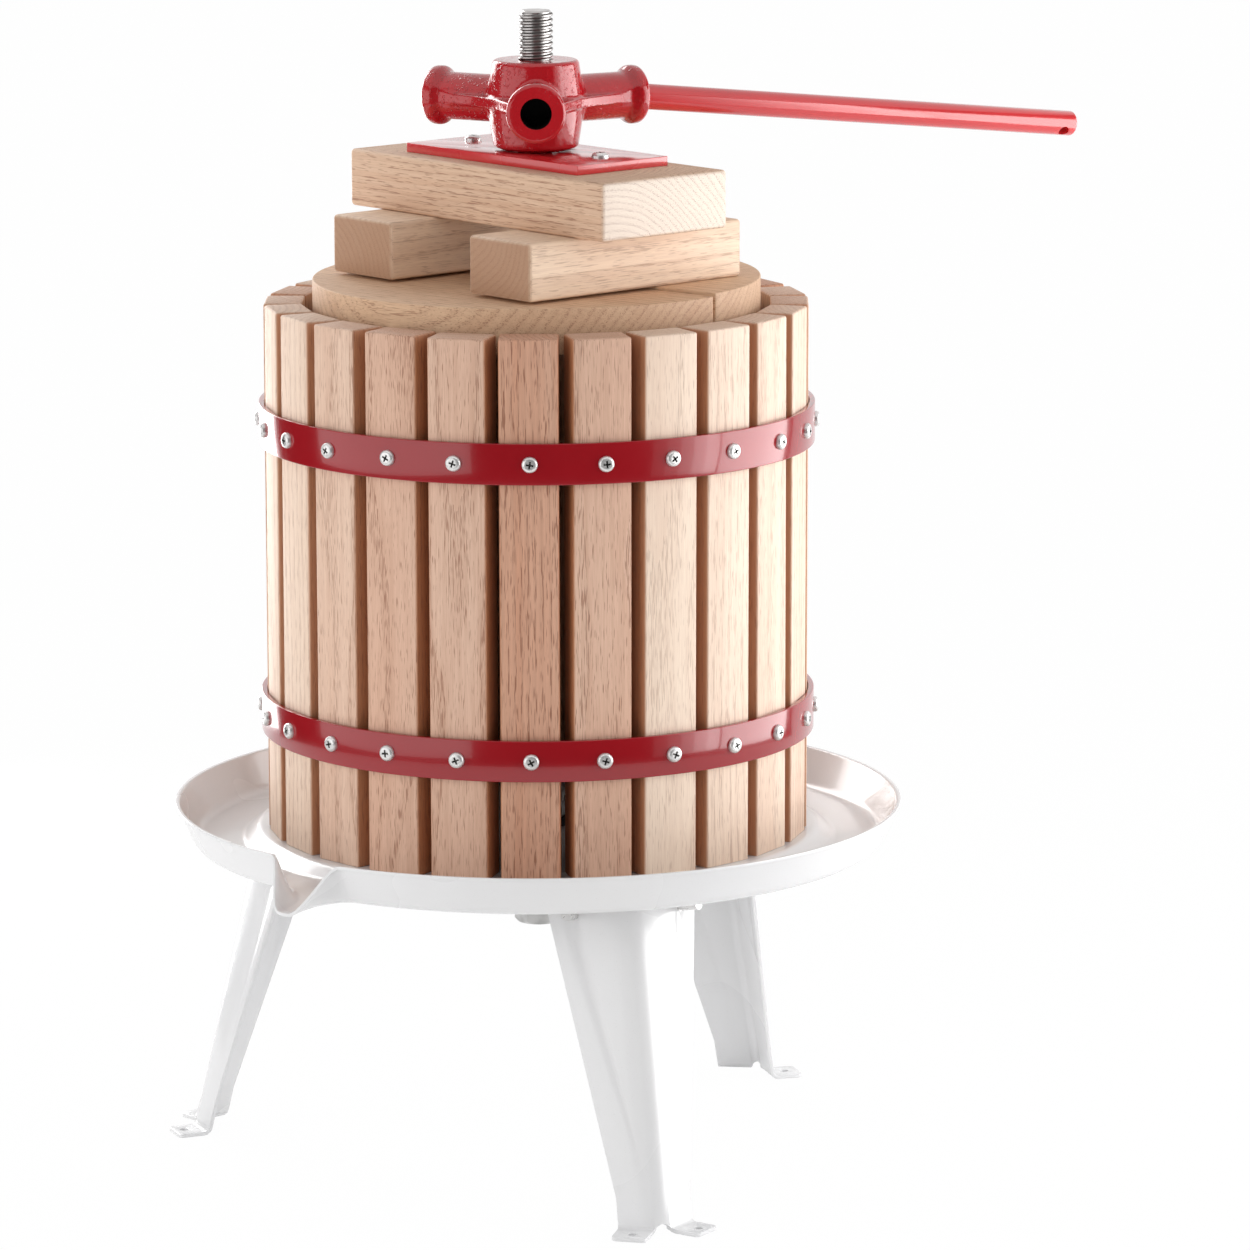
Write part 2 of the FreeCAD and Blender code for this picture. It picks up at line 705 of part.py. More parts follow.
def top_block():
    """The block under the plate, bored for the screw and for the plate's two screws."""
    block = eased_box(TOP_BLOCK_LENGTH, TOP_BLOCK_WIDTH, top_floor)
    block = block.cut(Part.makeCylinder(wood_bore, BLOCK_THICK, at(0, 0, top_floor)))
    for side in (-1, 1):
        seat = at(side * PLATE_SCREW_SPAN / 2, 0, plate_floor + PLATE_THICK)
        pilot = screw_hole(PLATE_SCREW, PLATE_SCREW_LENGTH, SCREW_FIT)
        block = block.cut(aimed(pilot, seat, UP))
    return along_stack(block)


def cross_block(side):
    """One of the two blocks that lie across the press boards."""
    block = eased_box(CROSS_BLOCK_WIDTH, CROSS_BLOCK_LENGTH, cross_floor)
    block.translate(at(side * CROSS_BLOCK_SPAN / 2, 0))
    return along_stack(block)


def press_board(side):
    """Half of the round board that presses the fruit, hollowed for the screw at its middle."""
    board = Part.makeCylinder(disc_radius, DISC_THICK, at(0, 0, disc_floor))
    rims = [edge for edge in board.Edges if edge.BoundBox.ZMin > disc_floor + DISC_THICK / 2]
    board = board.makeChamfer(BLOCK_BEVEL, rims)
    middle = side * (disc_radius + DISC_SPLIT / 2)
    half = box(4 * disc_radius, 2 * disc_radius, DISC_THICK, (0, middle), disc_floor)
    bore = Part.makeCylinder(wood_bore, DISC_THICK, at(0, 0, disc_floor))
    return turned(board.common(half).cut(bore), BOARD_TURN - 90.0)


def save(name, *solids):
    """Writes one node: a single solid, or a group of like ones."""
    shape = solids[0] if len(solids) == 1 else Part.makeCompound(solids)
    shape.exportStep("parts/" + name + ".step")
    print(name, len(shape.Solids), "solid", "valid" if shape.isValid() else "NOT VALID", round(shape.Volume))


os.makedirs("parts", exist_ok=True)

stave = slat()
for i in range(SLAT_COUNT):
    save("slat_%02d" % (i + 1), turned(stave, slat_azimuth(i)))
for name, height in zip(("lower", "upper"), hoop_heights):
    save("hoop_" + name, hoop(height))
    save("hoop_screws_" + name, *hoop_screws(height))

save("juice_tray", tray())
for i, name in enumerate(("front", "rear", "left")):
    save("leg_" + name, turned(leg(), LEG_TURN + i * 360.0 / LEG_COUNT))
save("tripod_plate", tripod())
leg_screws, leg_nuts = leg_fastenings()
save("leg_screws", *leg_screws)
save("leg_nuts", *leg_nuts)

save("spindle", spindle())
save("spindle_washer_upper", spindle_washer(UPPER_WASHER_DIA, spindle_radius, basket_floor))
save("spindle_nut_upper", bevelled_nut(UPPER_NUT, spindle_radius, basket_floor + WASHER_THICK))
save("spindle_washer_lower", spindle_washer(LOWER_WASHER_DIA, tail_radius, boss_floor - WASHER_THICK))
save("spindle_nut_lower", bevelled_nut(LOWER_NUT, tail_radius, lower_nut_floor))

save("hub", hub())
save("handle_bar", bar())
save("press_plate", press_plate())
save("plate_screws", *plate_screws())
save("top_block", top_block())
save("cross_block_right", cross_block(1))
save("cross_block_left", cross_block(-1))
save("press_board_rear", press_board(1))
save("press_board_front", press_board(-1))
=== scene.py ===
import bmesh
import bpy
import math
import random
from mathutils import Matrix, Vector


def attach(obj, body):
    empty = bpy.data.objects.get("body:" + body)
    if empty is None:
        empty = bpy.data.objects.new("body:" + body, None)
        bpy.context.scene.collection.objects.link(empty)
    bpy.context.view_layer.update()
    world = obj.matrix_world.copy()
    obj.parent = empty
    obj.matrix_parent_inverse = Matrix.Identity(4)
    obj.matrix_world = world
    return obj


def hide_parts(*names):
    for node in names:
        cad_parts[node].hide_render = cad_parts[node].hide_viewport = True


# A basket fruit press, put together from the floor up. Sizes are given in millimetres.
# +Z is up, the front of the press faces -Y, and an azimuth is measured from the front towards +X.
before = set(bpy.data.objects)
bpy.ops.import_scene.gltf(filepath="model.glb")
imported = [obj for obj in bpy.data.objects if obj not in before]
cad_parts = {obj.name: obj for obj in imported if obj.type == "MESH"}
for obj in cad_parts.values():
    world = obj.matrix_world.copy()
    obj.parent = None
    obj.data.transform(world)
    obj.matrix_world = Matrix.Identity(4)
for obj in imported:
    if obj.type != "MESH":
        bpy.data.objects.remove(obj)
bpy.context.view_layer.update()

# Legs. Each of the three is one strip of 2 mm steel sheet, tapered, bent along its middle to an open angle
# and coated white. At the foot both sides are bent outwards into tabs, each with a hole for a wood screw.
MM = 0.001
LEG_AZIMUTHS = {"leg_front": 19.4, "leg_rear": 139.4, "leg_left": 259.4}
LEG_HALF_ANGLE = math.radians(56.0)
LEG_SHEET = 2.0
LEG_BEND = 9.0
LEG_HEEL = 17.0
LEG_HEIGHT = 167.0
LEG_ROWS = (LEG_SHEET, LEG_HEEL, LEG_HEIGHT)
LEG_WIDTHS = (24.2, 24.2, 50.0)
LEG_LEAN = 39.0 / LEG_HEIGHT
LEG_FOOT_CORNER = 190.5
NOTCH_RISE = 3.4
TAB_WIDTH = 18.0
TAB_REACH = 16.0
TAB_FOLD = 2.2
TAB_CORNER = 2.5
TAB_HOLE = 4.5
TAB_SETBACKS = {-1: 8.0, 1: 10.0}
FOOT_LIFT = 0.07
LEG_SCREW_HEIGHT = 157.0
LEG_SCREW_ALONG = 35.3
LEG_SCREW_HOLE = 6.6
SIDES = (-1, 1)


def mm(x, y, z=0.0):
    return Vector((x, y, z)) * MM


def select_only(*pieces):
    """Leaves edit mode and selects these pieces and nothing else; the first one is the active one."""
    if bpy.context.mode != "OBJECT":
        bpy.ops.object.mode_set(mode="OBJECT")
    bpy.ops.object.select_all(action="DESELECT")
    for piece in reversed(pieces):
        piece.select_set(True)
        bpy.context.view_layer.objects.active = piece


def start(add, name, **sizes):
    """Adds a primitive at its size and place with nothing else selected, and opens it for shaping."""
    select_only()
    add(**sizes)
    piece = bpy.context.object
    piece.name = name
    bpy.ops.object.transform_apply(location=True, rotation=True, scale=True)
    bpy.ops.object.mode_set(mode="EDIT")
    return piece


def middle(item):
    """The middle of an edge or a face, in millimetres."""
    total = sum((corner.co for corner in item.verts), Vector())
    return total * (1000.0 / len(item.verts))


def choose(kind, wanted):
    """Selects the corners, edges or faces that pass a test of their place or normal."""
    bpy.ops.mesh.select_mode(type=kind)
    bpy.ops.mesh.select_all(action="DESELECT")
    piece = bpy.context.edit_object
    mesh = bmesh.from_edit_mesh(piece.data)
    for item in {"VERT": mesh.verts, "EDGE": mesh.edges, "FACE": mesh.faces}[kind]:
        if wanted(item):
            item.select_set(True)
    mesh.select_flush_mode()
    bmesh.update_edit_mesh(piece.data)


def round_over(wanted, radius, segments=3, kind="EDGE", profile=0.5):
    """Rounds the edges or corners that pass a test, in edit mode."""
    choose(kind, wanted)
    bpy.ops.mesh.bevel(offset=radius * MM, segments=segments, profile=profile,
                       affect={"EDGE": "EDGES", "VERT": "VERTICES"}[kind])


def reshape(rule):
    """Carries each corner of the piece being shaped to where the rule puts it; both in millimetres."""
    piece = bpy.context.edit_object
    mesh = bmesh.from_edit_mesh(piece.data)
    for corner in mesh.verts:
        corner.co = mm(*rule(corner.co * 1000.0))
    bmesh.update_edit_mesh(piece.data)


def face_outwards():
    """Selects all that is being shaped and turns its faces to one side, outwards if it is closed."""
    bpy.ops.mesh.select_all(action="SELECT")
    bpy.ops.mesh.normals_make_consistent(inside=False)


def add_modifier(piece, kind, **settings):
    """Adds a modifier to a finished shape and applies it at once."""
    select_only(piece)
    made = piece.modifiers.new("step", kind)
    for name, value in settings.items():
        setattr(made, name, value)
    bpy.ops.object.modifier_apply(modifier="step")


def ease_edges(piece, width, segments=2, angle=40.0):
    """Rounds every sharp edge of a piece a little."""
    add_modifier(piece, "BEVEL", width=width * MM, segments=segments, limit_method="ANGLE",
                 angle_limit=math.radians(angle))


def cut(piece, cutter):
    """Cuts one piece with another, which is used up."""
    add_modifier(piece, "BOOLEAN", object=cutter, operation="DIFFERENCE", solver="EXACT")
    bpy.data.objects.remove(cutter)


def rod(name, radius, length, centre, way, side_shades=32):
    """A closed round rod, centred on a point and pointing along a direction, for cutting with or to shape."""
    turn = Vector((0, 0, 1)).rotation_difference(Vector(way)).to_euler()
    piece = start(bpy.ops.mesh.primitive_cylinder_add, name, vertices=side_shades, radius=radius * MM,
                  depth=length * MM, location=mm(*centre), rotation=turn)
    bpy.ops.object.mode_set(mode="OBJECT")
    return piece


def joined(pieces, name):
    """Several pieces made one object."""
    select_only(*pieces)
    bpy.ops.object.join()
    pieces[0].name = name
    return pieces[0]


def copy_of(piece, name, move):
    """A copy with its own mesh, moved in the mesh itself."""
    copy = piece.copy()
    copy.data = piece.data.copy()
    copy.data.transform(move)
    copy.name = name
    bpy.context.scene.collection.objects.link(copy)
    return copy


def turned(azimuth):
    return Matrix.Rotation(math.radians(azimuth), 4, "Z")


def smooth(piece, angle=35.0):
    """Smooth shading, apart from edges sharper than the angle."""
    select_only(piece)
    bpy.ops.object.shade_smooth_by_angle(angle=math.radians(angle))


class Socket:
    """An output of a shader node. A sum or product of such values adds a Math node."""

    def __init__(self, nodes, output):
        self.nodes = nodes
        self.output = output

    def math(self, operation, first, second):
        return self.nodes.add("Math", {"operation": operation}, {0: first, 1: second})

    def __add__(self, other):
        return self.math("ADD", self, other)

    def __sub__(self, other):
        return self.math("SUBTRACT", self, other)

    def __mul__(self, other):
        return self.math("MULTIPLY", self, other)

    def __truediv__(self, other):
        return self.math("DIVIDE", self, other)

    __radd__ = __add__
    __rmul__ = __mul__


class Nodes:
    """The node tree of a finish, or of the world."""

    def __init__(self, tree):
        self.tree = tree

    def join(self, value, socket):
        """Feeds a socket with a link, or sets its value."""
        if isinstance(value, Socket):
            self.tree.links.new(value.output, socket)
        else:
            socket.default_value = value

    def add(self, kind, settings, sockets, output=0):
        """Any node: its type, its settings, then the values or links of its sockets."""
        made = self.tree.nodes.new("ShaderNode" + kind)
        for name, value in settings.items():
            setattr(made, name, value)
        for name, value in sockets.items():
            self.join(value, made.inputs[name])
        return Socket(self, made.outputs[output])

    def place(self):
        return self.add("TexCoord", {}, {}, "Object")

    def stored(self, name, output="Fac"):
        """What the mesh holds under a name."""
        return self.add("Attribute", {"attribute_name": name}, {}, output)

    def stretched(self, vector, scales):
        return self.add("VectorMath", {"operation": "MULTIPLY"}, {0: vector, 1: scales})

    def off_axis(self, vector):
        """The distance from the Z axis."""
        return self.add("VectorMath", {"operation": "LENGTH"}, {0: self.stretched(vector, (1, 1, 0))}, "Value")

    def noise(self, vector, scale=1.0, detail=2.0):
        return self.add("TexNoise", {}, {"Vector": vector, "Scale": scale, "Detail": detail})

    def rise(self, value, low, high, start=0.0, end=1.0):
        """A soft step from start to end while the value goes from low to high."""
        sockets = {"Value": value, "From Min": low, "From Max": high, "To Min": start, "To Max": end}
        return self.add("MapRange", {"interpolation_type": "SMOOTHSTEP"}, sockets)

    def mix(self, share, first, second):
        """One colour blended into another."""
        return self.add("Mix", {"data_type": "RGBA"}, {0: share, 6: first, 7: second}, 2)


class Finish(Nodes):
    """A material with one Principled shader, whose fixed values are set when it is made."""

    def __init__(self, name, **fixed):
        self.material = bpy.data.materials.new(name)
        self.material.use_nodes = True
        super().__init__(self.material.node_tree)
        self.shader = self.tree.nodes["Principled BSDF"]
        for socket, value in fixed.items():
            self.shader.inputs[socket.replace("_", " ")].default_value = value

    def paint(self, colour, roughness, height=None, depth=0.0):
        """Sets or links the colour, the roughness, and the height of the surface's relief in mm."""
        self.join(colour, self.shader.inputs["Base Color"])
        self.join(roughness, self.shader.inputs["Roughness"])
        if height is not None:
            bump = self.add("Bump", {}, {"Height": height, "Distance": depth * MM, "Strength": 1.0})
            self.join(bump, self.shader.inputs["Normal"])


def rgb(red, green, blue):
    return (red, green, blue, 1.0)


def dress(piece, finish, body, node):
    """Gives a piece its finish, the body that it moves with and the node that it stands for."""
    piece.data.materials.clear()
    piece.data.materials.append(finish.material)
    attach(piece, body)
    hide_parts(node)


def enamel():
    """Thick white coating: a faint ripple, a slight drift of tone, and a hard gloss."""
    finish = Finish("white_coating", Specular_IOR_Level=0.5, Coat_Weight=0.35, Coat_Roughness=0.05)
    place = finish.place()
    drift = finish.noise(place, 9.0)
    ripple = finish.noise(place, 420.0, 1.0)
    pits = finish.noise(place, 1900.0, 0.0)
    colour = finish.mix(drift, rgb(0.765, 0.765, 0.78), rgb(0.81, 0.805, 0.80))
    colour = finish.mix(finish.rise(pits, 0.72, 0.80, 0.0, 0.25), colour, rgb(0.62, 0.61, 0.60))
    finish.paint(colour, 0.22 + 0.10 * drift, ripple + 0.2 * pits, 0.020)
    return finish


def leg_point(height, side, along):
    """A point of a front leg's outer faces, from its height and its distance from the bend's corner."""
    corner = LEG_FOOT_CORNER - LEG_LEAN * height
    return (side * math.sin(LEG_HALF_ANGLE) * along, math.cos(LEG_HALF_ANGLE) * along - corner, height)


def leg_grid(place):
    """Where each corner of a three by three grid goes: left end, bend and right end at three heights."""
    column, row = round(place.x), round(place.y)
    return leg_point(LEG_ROWS[row + 1], column, abs(column) * LEG_WIDTHS[row + 1])


bend_reach = LEG_BEND * math.tan(math.pi / 2 - LEG_HALF_ANGLE)
bend_half = bend_reach * math.sin(LEG_HALF_ANGLE)
tab_out = {side: Vector((side * math.cos(LEG_HALF_ANGLE), -math.sin(LEG_HALF_ANGLE), 0)) for side in SIDES}


def arch_over_notch(place):
    """Lifts the sheet's edge between the two tabs into a low arch."""
    if place.z < LEG_SHEET + 0.5 and abs(place.x) < bend_half - 0.1:
        return (place.x, place.y, place.z + NOTCH_RISE * (1 - (place.x / bend_half) ** 2))
    return place


def at_foot(edge, side, beyond):
    """Whether an edge lies along the foot's end, further out than this on one side."""
    return abs(middle(edge).z - LEG_SHEET) < 0.01 and side * middle(edge).x > beyond


leg = start(bpy.ops.mesh.primitive_grid_add, "leg_front_sheet", x_subdivisions=2, y_subdivisions=2, size=2 * MM)
reshape(leg_grid)
round_over(lambda edge: all(abs(corner.co.x) < 1e-6 for corner in edge.verts), bend_reach, 8)
reshape(arch_over_notch)
for side in SIDES:
    choose("EDGE", lambda edge: at_foot(edge, side, bend_half))
    bpy.ops.mesh.extrude_region_move(TRANSFORM_OT_translate={"value": tab_out[side] * TAB_REACH * MM})
    round_over(lambda edge: edge.is_manifold and at_foot(edge, side, 0), TAB_FOLD)
    tab_edge = max(tab_out[side].dot(c.co) for c in bmesh.from_edit_mesh(leg.data).verts if side * c.co.x > 0)
    round_over(lambda corner: side * corner.co.x > 0 and tab_out[side].dot(corner.co) > tab_edge - 1e-5,
               TAB_CORNER, 4, "VERT")
face_outwards()
bend_face = min(bmesh.from_edit_mesh(leg.data).faces, key=lambda face: abs(middle(face).x))
if bend_face.normal.y > 0:
    bpy.ops.mesh.flip_normals()
add_modifier(leg, "SOLIDIFY", thickness=LEG_SHEET * MM, offset=-1.0, use_even_offset=True)
leg_rise = Vector((0, LEG_LEAN, 1))
leg_outward = {}
for side in SIDES:
    way = Vector((side * math.sin(LEG_HALF_ANGLE), math.cos(LEG_HALF_ANGLE), 0))
    leg_outward[side] = leg_rise.cross(way).normalized() * side
    hole = Vector(leg_point(0, side, LEG_WIDTHS[0] - TAB_WIDTH / 2)) + tab_out[side] * TAB_SETBACKS[side]
    cut(leg, rod("foot_drill", TAB_HOLE / 2, 20, hole, (0, 0, 1)))
    seat = leg_point(LEG_SCREW_HEIGHT, side, LEG_SCREW_ALONG)
    cut(leg, rod("leg_drill", LEG_SCREW_HOLE / 2, 20, seat, leg_outward[side]))
ease_edges(leg, 0.35)
leg.data.transform(Matrix.Translation(mm(0, 0, FOOT_LIFT)))
smooth(leg)
white = enamel()
for node, azimuth in LEG_AZIMUTHS.items():
    dress(copy_of(leg, node + "_sheet", turned(azimuth)), white, "stand", node)
bpy.data.objects.remove(leg)

# Tripod plate. A cast star under the tray ties the three legs together and holds the screw's tail in its boss.
# It is rough grey iron, seen from below only, and its CAD solid has the right shape.


def cast_grey():
    """Rough grey paint on a casting, dark in its pits."""
    finish = Finish("rough_casting", Specular_IOR_Level=0.4)
    place = finish.place()
    grit = finish.noise(place, 900.0, 3.0)
    cloud = finish.noise(place, 28.0, 3.0)
    colour = finish.mix(cloud, rgb(0.34, 0.35, 0.36), rgb(0.46, 0.47, 0.48))
    colour = finish.mix(finish.rise(grit, 0.30, 0.45, 0.5, 0.0), colour, rgb(0.20, 0.20, 0.21))
    finish.paint(colour, 0.48 + 0.2 * cloud, grit, 0.25)
    return finish


def repaint(node, finish):
    """A CAD node that stays, with a better finish."""
    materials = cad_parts[node].data.materials
    materials.clear()
    materials.append(finish.material)


repaint("tripod_plate", cast_grey())

# Juice tray. A dish pressed from 1.5 mm sheet and coated white inside and out: a raised middle for the basket,
# a channel round it, a leaning wall with a narrow turned-out rim, and a lip drawn out of the wall for pouring.
TRAY_SHEET = 1.5
TRAY_STEPS = 480
TRAY_HOLE_RADIUS = 9.3
BASKET_FLOOR = 175.0
MIDDLE_RADIUS = 146.8
CHANNEL_START = 155.5
CHANNEL_END = 180.0
TRAY_FLOOR = 168.5
TRAY_WALL_TOP = 189.0
TRAY_RIM_HEIGHT = 188.5
TRAY_RIM_RADIUS = 191.0
TRAY_ROUNDING = (7.0, 7.0, 5.5, 1.2)
LIP_AZIMUTH = -38.5
LIP_TIP_RADIUS = 206.6
LIP_TIP_HEIGHT = 164.3
LIP_START = 171.0
LIP_HALF_MOUTH = 22.0
LIP_HALF_FLOOR = 2.5
LIP_RUN = 1.3
DISH_RUN = 12.0


def rounded(points, radii, steps=5):
    """The points of an open line, with each inner corner turned into an arc of its radius."""
    line = [points[0]]
    for before, point, after, radius in zip(points, points[1:], points[2:], radii):
        before, point, after = Vector(before), Vector(point), Vector(after)
        if radius == 0:
            line.append(tuple(point))
            continue
        back = (before - point).normalized()
        ahead = (after - point).normalized()
        half_turn = (math.pi - back.angle(ahead)) / 2
        centre = point + (back + ahead).normalized() * radius / math.cos(half_turn)
        first = point + back * radius * math.tan(half_turn) - centre
        turn = 2 * half_turn * (1 if back.cross(ahead) < 0 else -1)
        line += [tuple(centre + Matrix.Rotation(turn * i / steps, 2) @ first) for i in range(steps + 1)]
    line.append(points[-1])
    return line


def outline(name, points, closed=True, fill="NOTHING"):
    """A line or flat face through points in millimetres, open for shaping."""
    piece = start(bpy.ops.mesh.primitive_circle_add, name, vertices=len(points), radius=1.0, fill_type=fill)
    mesh = bmesh.from_edit_mesh(piece.data)
    mesh.verts.ensure_lookup_table()
    for corner, point in zip(mesh.verts, points):
        corner.co = mm(*point)
    if not closed:
        ends = {mesh.verts[0], mesh.verts[len(points) - 1]}
        mesh.edges.remove(next(edge for edge in mesh.edges if set(edge.verts) == ends))
    bmesh.update_edit_mesh(piece.data)
    return piece


def lathe(name, section, steps, closed=True):
    """Turns a section of (radius, height) points round the screw's axis."""
    piece = outline(name, [(radius, 0, height) for radius, height in section], closed)
    bpy.ops.mesh.select_all(action="SELECT")
    bpy.ops.mesh.spin(steps=steps, angle=2 * math.pi, center=(0, 0, 0), axis=(0, 0, 1))
    bpy.ops.mesh.select_all(action="SELECT")
    bpy.ops.mesh.remove_doubles(threshold=1e-6)
    bpy.ops.mesh.delete_loose()
    face_outwards()
    return piece


def soft_step(value, low, high):
    share = min(1.0, max(0.0, (value - low) / (high - low)))
    return share * share * (3 - 2 * share)


def draw_lip(place):
    """Pulls the wall outwards and down into the pouring lip."""
    local = turned(-LIP_AZIMUTH) @ place
    across, radius = abs(local.x), math.hypot(place.x, place.y)
    if radius < LIP_START or across > LIP_HALF_MOUTH or local.y > 0:
        return place
    run = (radius - LIP_START) / (TRAY_RIM_RADIUS - LIP_START)
    keep = soft_step(across, LIP_HALF_FLOOR, LIP_HALF_MOUTH)
    open_radius = (LIP_TIP_RADIUS - LIP_START) * run + LIP_START
    open_height = (LIP_TIP_HEIGHT - TRAY_FLOOR) * run
    height = TRAY_FLOOR + open_height + (place.z - TRAY_FLOOR - open_height) * keep
    scale = (open_radius + (radius - open_radius) * keep) / radius
    return (place.x * scale, place.y * scale, height)


def divided(line, longest):
    """The line with more points, so that no run is longer than this."""
    result = [line[0]]
    for start_point, end_point in zip(line, line[1:]):
        first, last = Vector(start_point), Vector(end_point)
        count = max(1, math.ceil((last - first).length / longest))
        result += [tuple(first.lerp(last, (i + 1) / count)) for i in range(count)]
    return result


dish_line = [(TRAY_HOLE_RADIUS, BASKET_FLOOR), (MIDDLE_RADIUS, BASKET_FLOOR), (CHANNEL_START, TRAY_FLOOR),
             (CHANNEL_END, TRAY_FLOOR), (TRAY_WALL_TOP, TRAY_RIM_HEIGHT), (TRAY_RIM_RADIUS, TRAY_RIM_HEIGHT)]
dish_line = rounded(dish_line, TRAY_ROUNDING)
inner = [point for point in dish_line if point[0] < LIP_START]
outer = [point for point in dish_line if point[0] >= LIP_START - 1]
tray = lathe("juice_tray_dish", divided(inner, DISH_RUN) + divided(outer, LIP_RUN), TRAY_STEPS, closed=False)
floor_face = min(bmesh.from_edit_mesh(tray.data).faces, key=lambda face: middle(face).xy.length)
if floor_face.normal.z < 0:
    bpy.ops.mesh.flip_normals()
reshape(draw_lip)
add_modifier(tray, "SOLIDIFY", thickness=TRAY_SHEET * MM, offset=-1.0, use_even_offset=True)
ease_edges(tray, 0.45, 2, 50.0)
smooth(tray, 50.0)
dress(tray, white, "stand", "juice_tray")

# Leg screws and nuts. Two zinc-plated pan-head screws with a cross recess clamp each leg to the tripod plate,
# just under the tray, with plain hexagon nuts behind.
LEG_SCREW_HEAD = (11.0, 3.6)
LEG_SHANK = (3.0, 12.0)


def above(height):
    """A test for what lies wholly above a height in millimetres."""
    return lambda item: all(corner.co.z > height * MM for corner in item.verts)


def below(height):
    """A test for what lies wholly below a height in millimetres."""
    return lambda item: all(corner.co.z < height * MM for corner in item.verts)


def box(name, size, centre):
    """A box of this size round a point, open for shaping."""
    return start(bpy.ops.mesh.primitive_cube_add, name, size=1.0, location=mm(*centre), scale=mm(*size))


def cross_head(name, diameter, height, side_shades=20):
    """The domed head of a screw on z = 0, with a cross recess."""
    head = start(bpy.ops.mesh.primitive_cylinder_add, name, vertices=side_shades, radius=diameter / 2 * MM,
                 depth=height * MM, location=mm(0, 0, height / 2))
    round_over(above(0.9 * height), 0.75 * height, 4, profile=0.55)
    bpy.ops.object.mode_set(mode="OBJECT")
    length, width = 0.62 * diameter, 0.15 * diameter
    for across in ((length, width), (width, length)):
        slot = box("recess", (*across, 1.6 * height), (0, 0, height))
        choose("FACE", lambda face: face.normal.z < -0.9)
        bpy.ops.transform.resize(value=(0.5, 0.5, 1.0))
        bpy.ops.object.mode_set(mode="OBJECT")
        cut(head, slot)
    # Marks the faces of the cross recess, which the plating darkens as painted shade.
    inside = []
    for face in head.data.polygons:
        place = face.center * 1000.0
        inside.append(float(place.xy.length < 0.33 * diameter and 0.1 * height < place.z < 0.93 * height))
    head.data.attributes.new("recess", "FLOAT", "FACE").data.foreach_set("value", inside)
    return head


def plated(name, colour, roughness, metallic=1.0):
    """Bright plating: fine scatter in the gloss, dull spots where it was handled, and painted shade in the cross
    recesses.
    """
    finish = Finish(name, Metallic=metallic)
    place = finish.place()
    dull = finish.noise(place, 160.0, 3.0)
    fine = finish.noise(place, 2600.0, 1.0)
    shade = finish.mix(finish.rise(dull, 0.35, 0.75, 0.0, 0.6), rgb(*colour), rgb(*(0.7 * part for part in colour)))
    # Painted shade: the faces of the cross recess are darkened.
    shade = finish.mix(finish.stored("recess") * 0.85, shade, rgb(0.07, 0.06, 0.05))
    finish.paint(shade, roughness + 0.16 * dull, fine, 0.006)
    return finish


def aim(point, direction, spin=0.0):
    """The move that takes a piece made on z = 0 to a point, to stand up along a direction."""
    turn = Vector((0, 0, 1)).rotation_difference(Vector(direction)).to_matrix().to_4x4()
    return Matrix.Translation(mm(*point)) @ turn @ Matrix.Rotation(spin, 4, "Z")


zinc = plated("zinc_plate", (0.80, 0.79, 0.78), 0.20, 0.6)
chance = random.Random(7)


def screw_set(name, screw, seats, body, node):
    """Copies of a screw, each turned by hand, made one piece. A seat is a turn, a point and the way out there."""
    screws = [copy_of(screw, "screw", turn @ aim(point, out, chance.uniform(0, 3))) for turn, point, out in seats]
    screws = joined(screws, name)
    smooth(screws, 30.0)
    dress(screws, zinc, body, node)


head = cross_head("leg_screw", *LEG_SCREW_HEAD)
shank = rod("leg_shank", *LEG_SHANK, (0, 0, 0.1 - LEG_SHANK[1] / 2), (0, 0, 1), 20)
head = joined([head, shank], "leg_screw")
leg_seats = [(turned(azimuth), leg_point(LEG_SCREW_HEIGHT, side, LEG_SCREW_ALONG), leg_outward[side])
             for azimuth in LEG_AZIMUTHS.values() for side in SIDES]
screw_set("leg_screw_set", head, leg_seats, "stand", "leg_screws")
bpy.data.objects.remove(head)
repaint("leg_nuts", zinc)

# Spindle. The fixed steel screw of the press: an 18 mm rod with a rolled round-crested thread of 3 mm pitch,
# shouldered at the tray's middle, its thinner tail held by a nut under the tripod plate's boss.
THREAD_PITCH = 3.0
THREAD_CREST = 9.0
THREAD_FLOOR = 173.5
THREAD_TOP = 603.1
THREAD_CHAMFER = 1.8
THREAD_PROFILE = ((7.85, 0.0), (7.9, 0.36), (8.1, 0.52), (8.75, 0.93), (8.97, 1.08), (9.0, 1.2), (9.0, 1.8),
                  (8.97, 1.92), (8.75, 2.07), (8.1, 2.48), (7.9, 2.64), (7.85, 3.0))
TAIL_RADIUS = 7.0
TAIL_FLOOR = 121.5
TAIL_CHAMFER = 1.5
first_turn = THREAD_FLOOR - 2 * THREAD_PITCH
turns = math.ceil((THREAD_TOP - THREAD_FLOOR) / THREAD_PITCH) + 4
thread = outline("spindle_thread", [(radius, 0, first_turn + height) for radius, height in THREAD_PROFILE], False)
add_modifier(thread, "SCREW", angle=2 * math.pi, screw_offset=THREAD_PITCH * MM, iterations=turns, steps=24,
             render_steps=24, use_merge_vertices=True, merge_threshold=1e-5, axis="Z")
bpy.ops.object.mode_set(mode="EDIT")
for height, under in ((THREAD_FLOOR, True), (THREAD_TOP, False)):
    bpy.ops.mesh.select_all(action="SELECT")
    bpy.ops.mesh.bisect(plane_co=mm(0, 0, height), plane_no=(0, 0, 1), use_fill=True, clear_inner=under,
                        clear_outer=not under)
bpy.ops.mesh.select_all(action="SELECT")
bpy.ops.mesh.remove_doubles(threshold=1e-6)
face_outwards()


def turn_off_end(place):
    """The top end of the thread, turned to a cone."""
    limit = THREAD_CREST - THREAD_CHAMFER + max(0.0, THREAD_TOP - place.z)
    radius = place.xy.length
    scale = min(1.0, limit / radius) if radius > 0 else 1.0
    return (place.x * scale, place.y * scale, place.z)


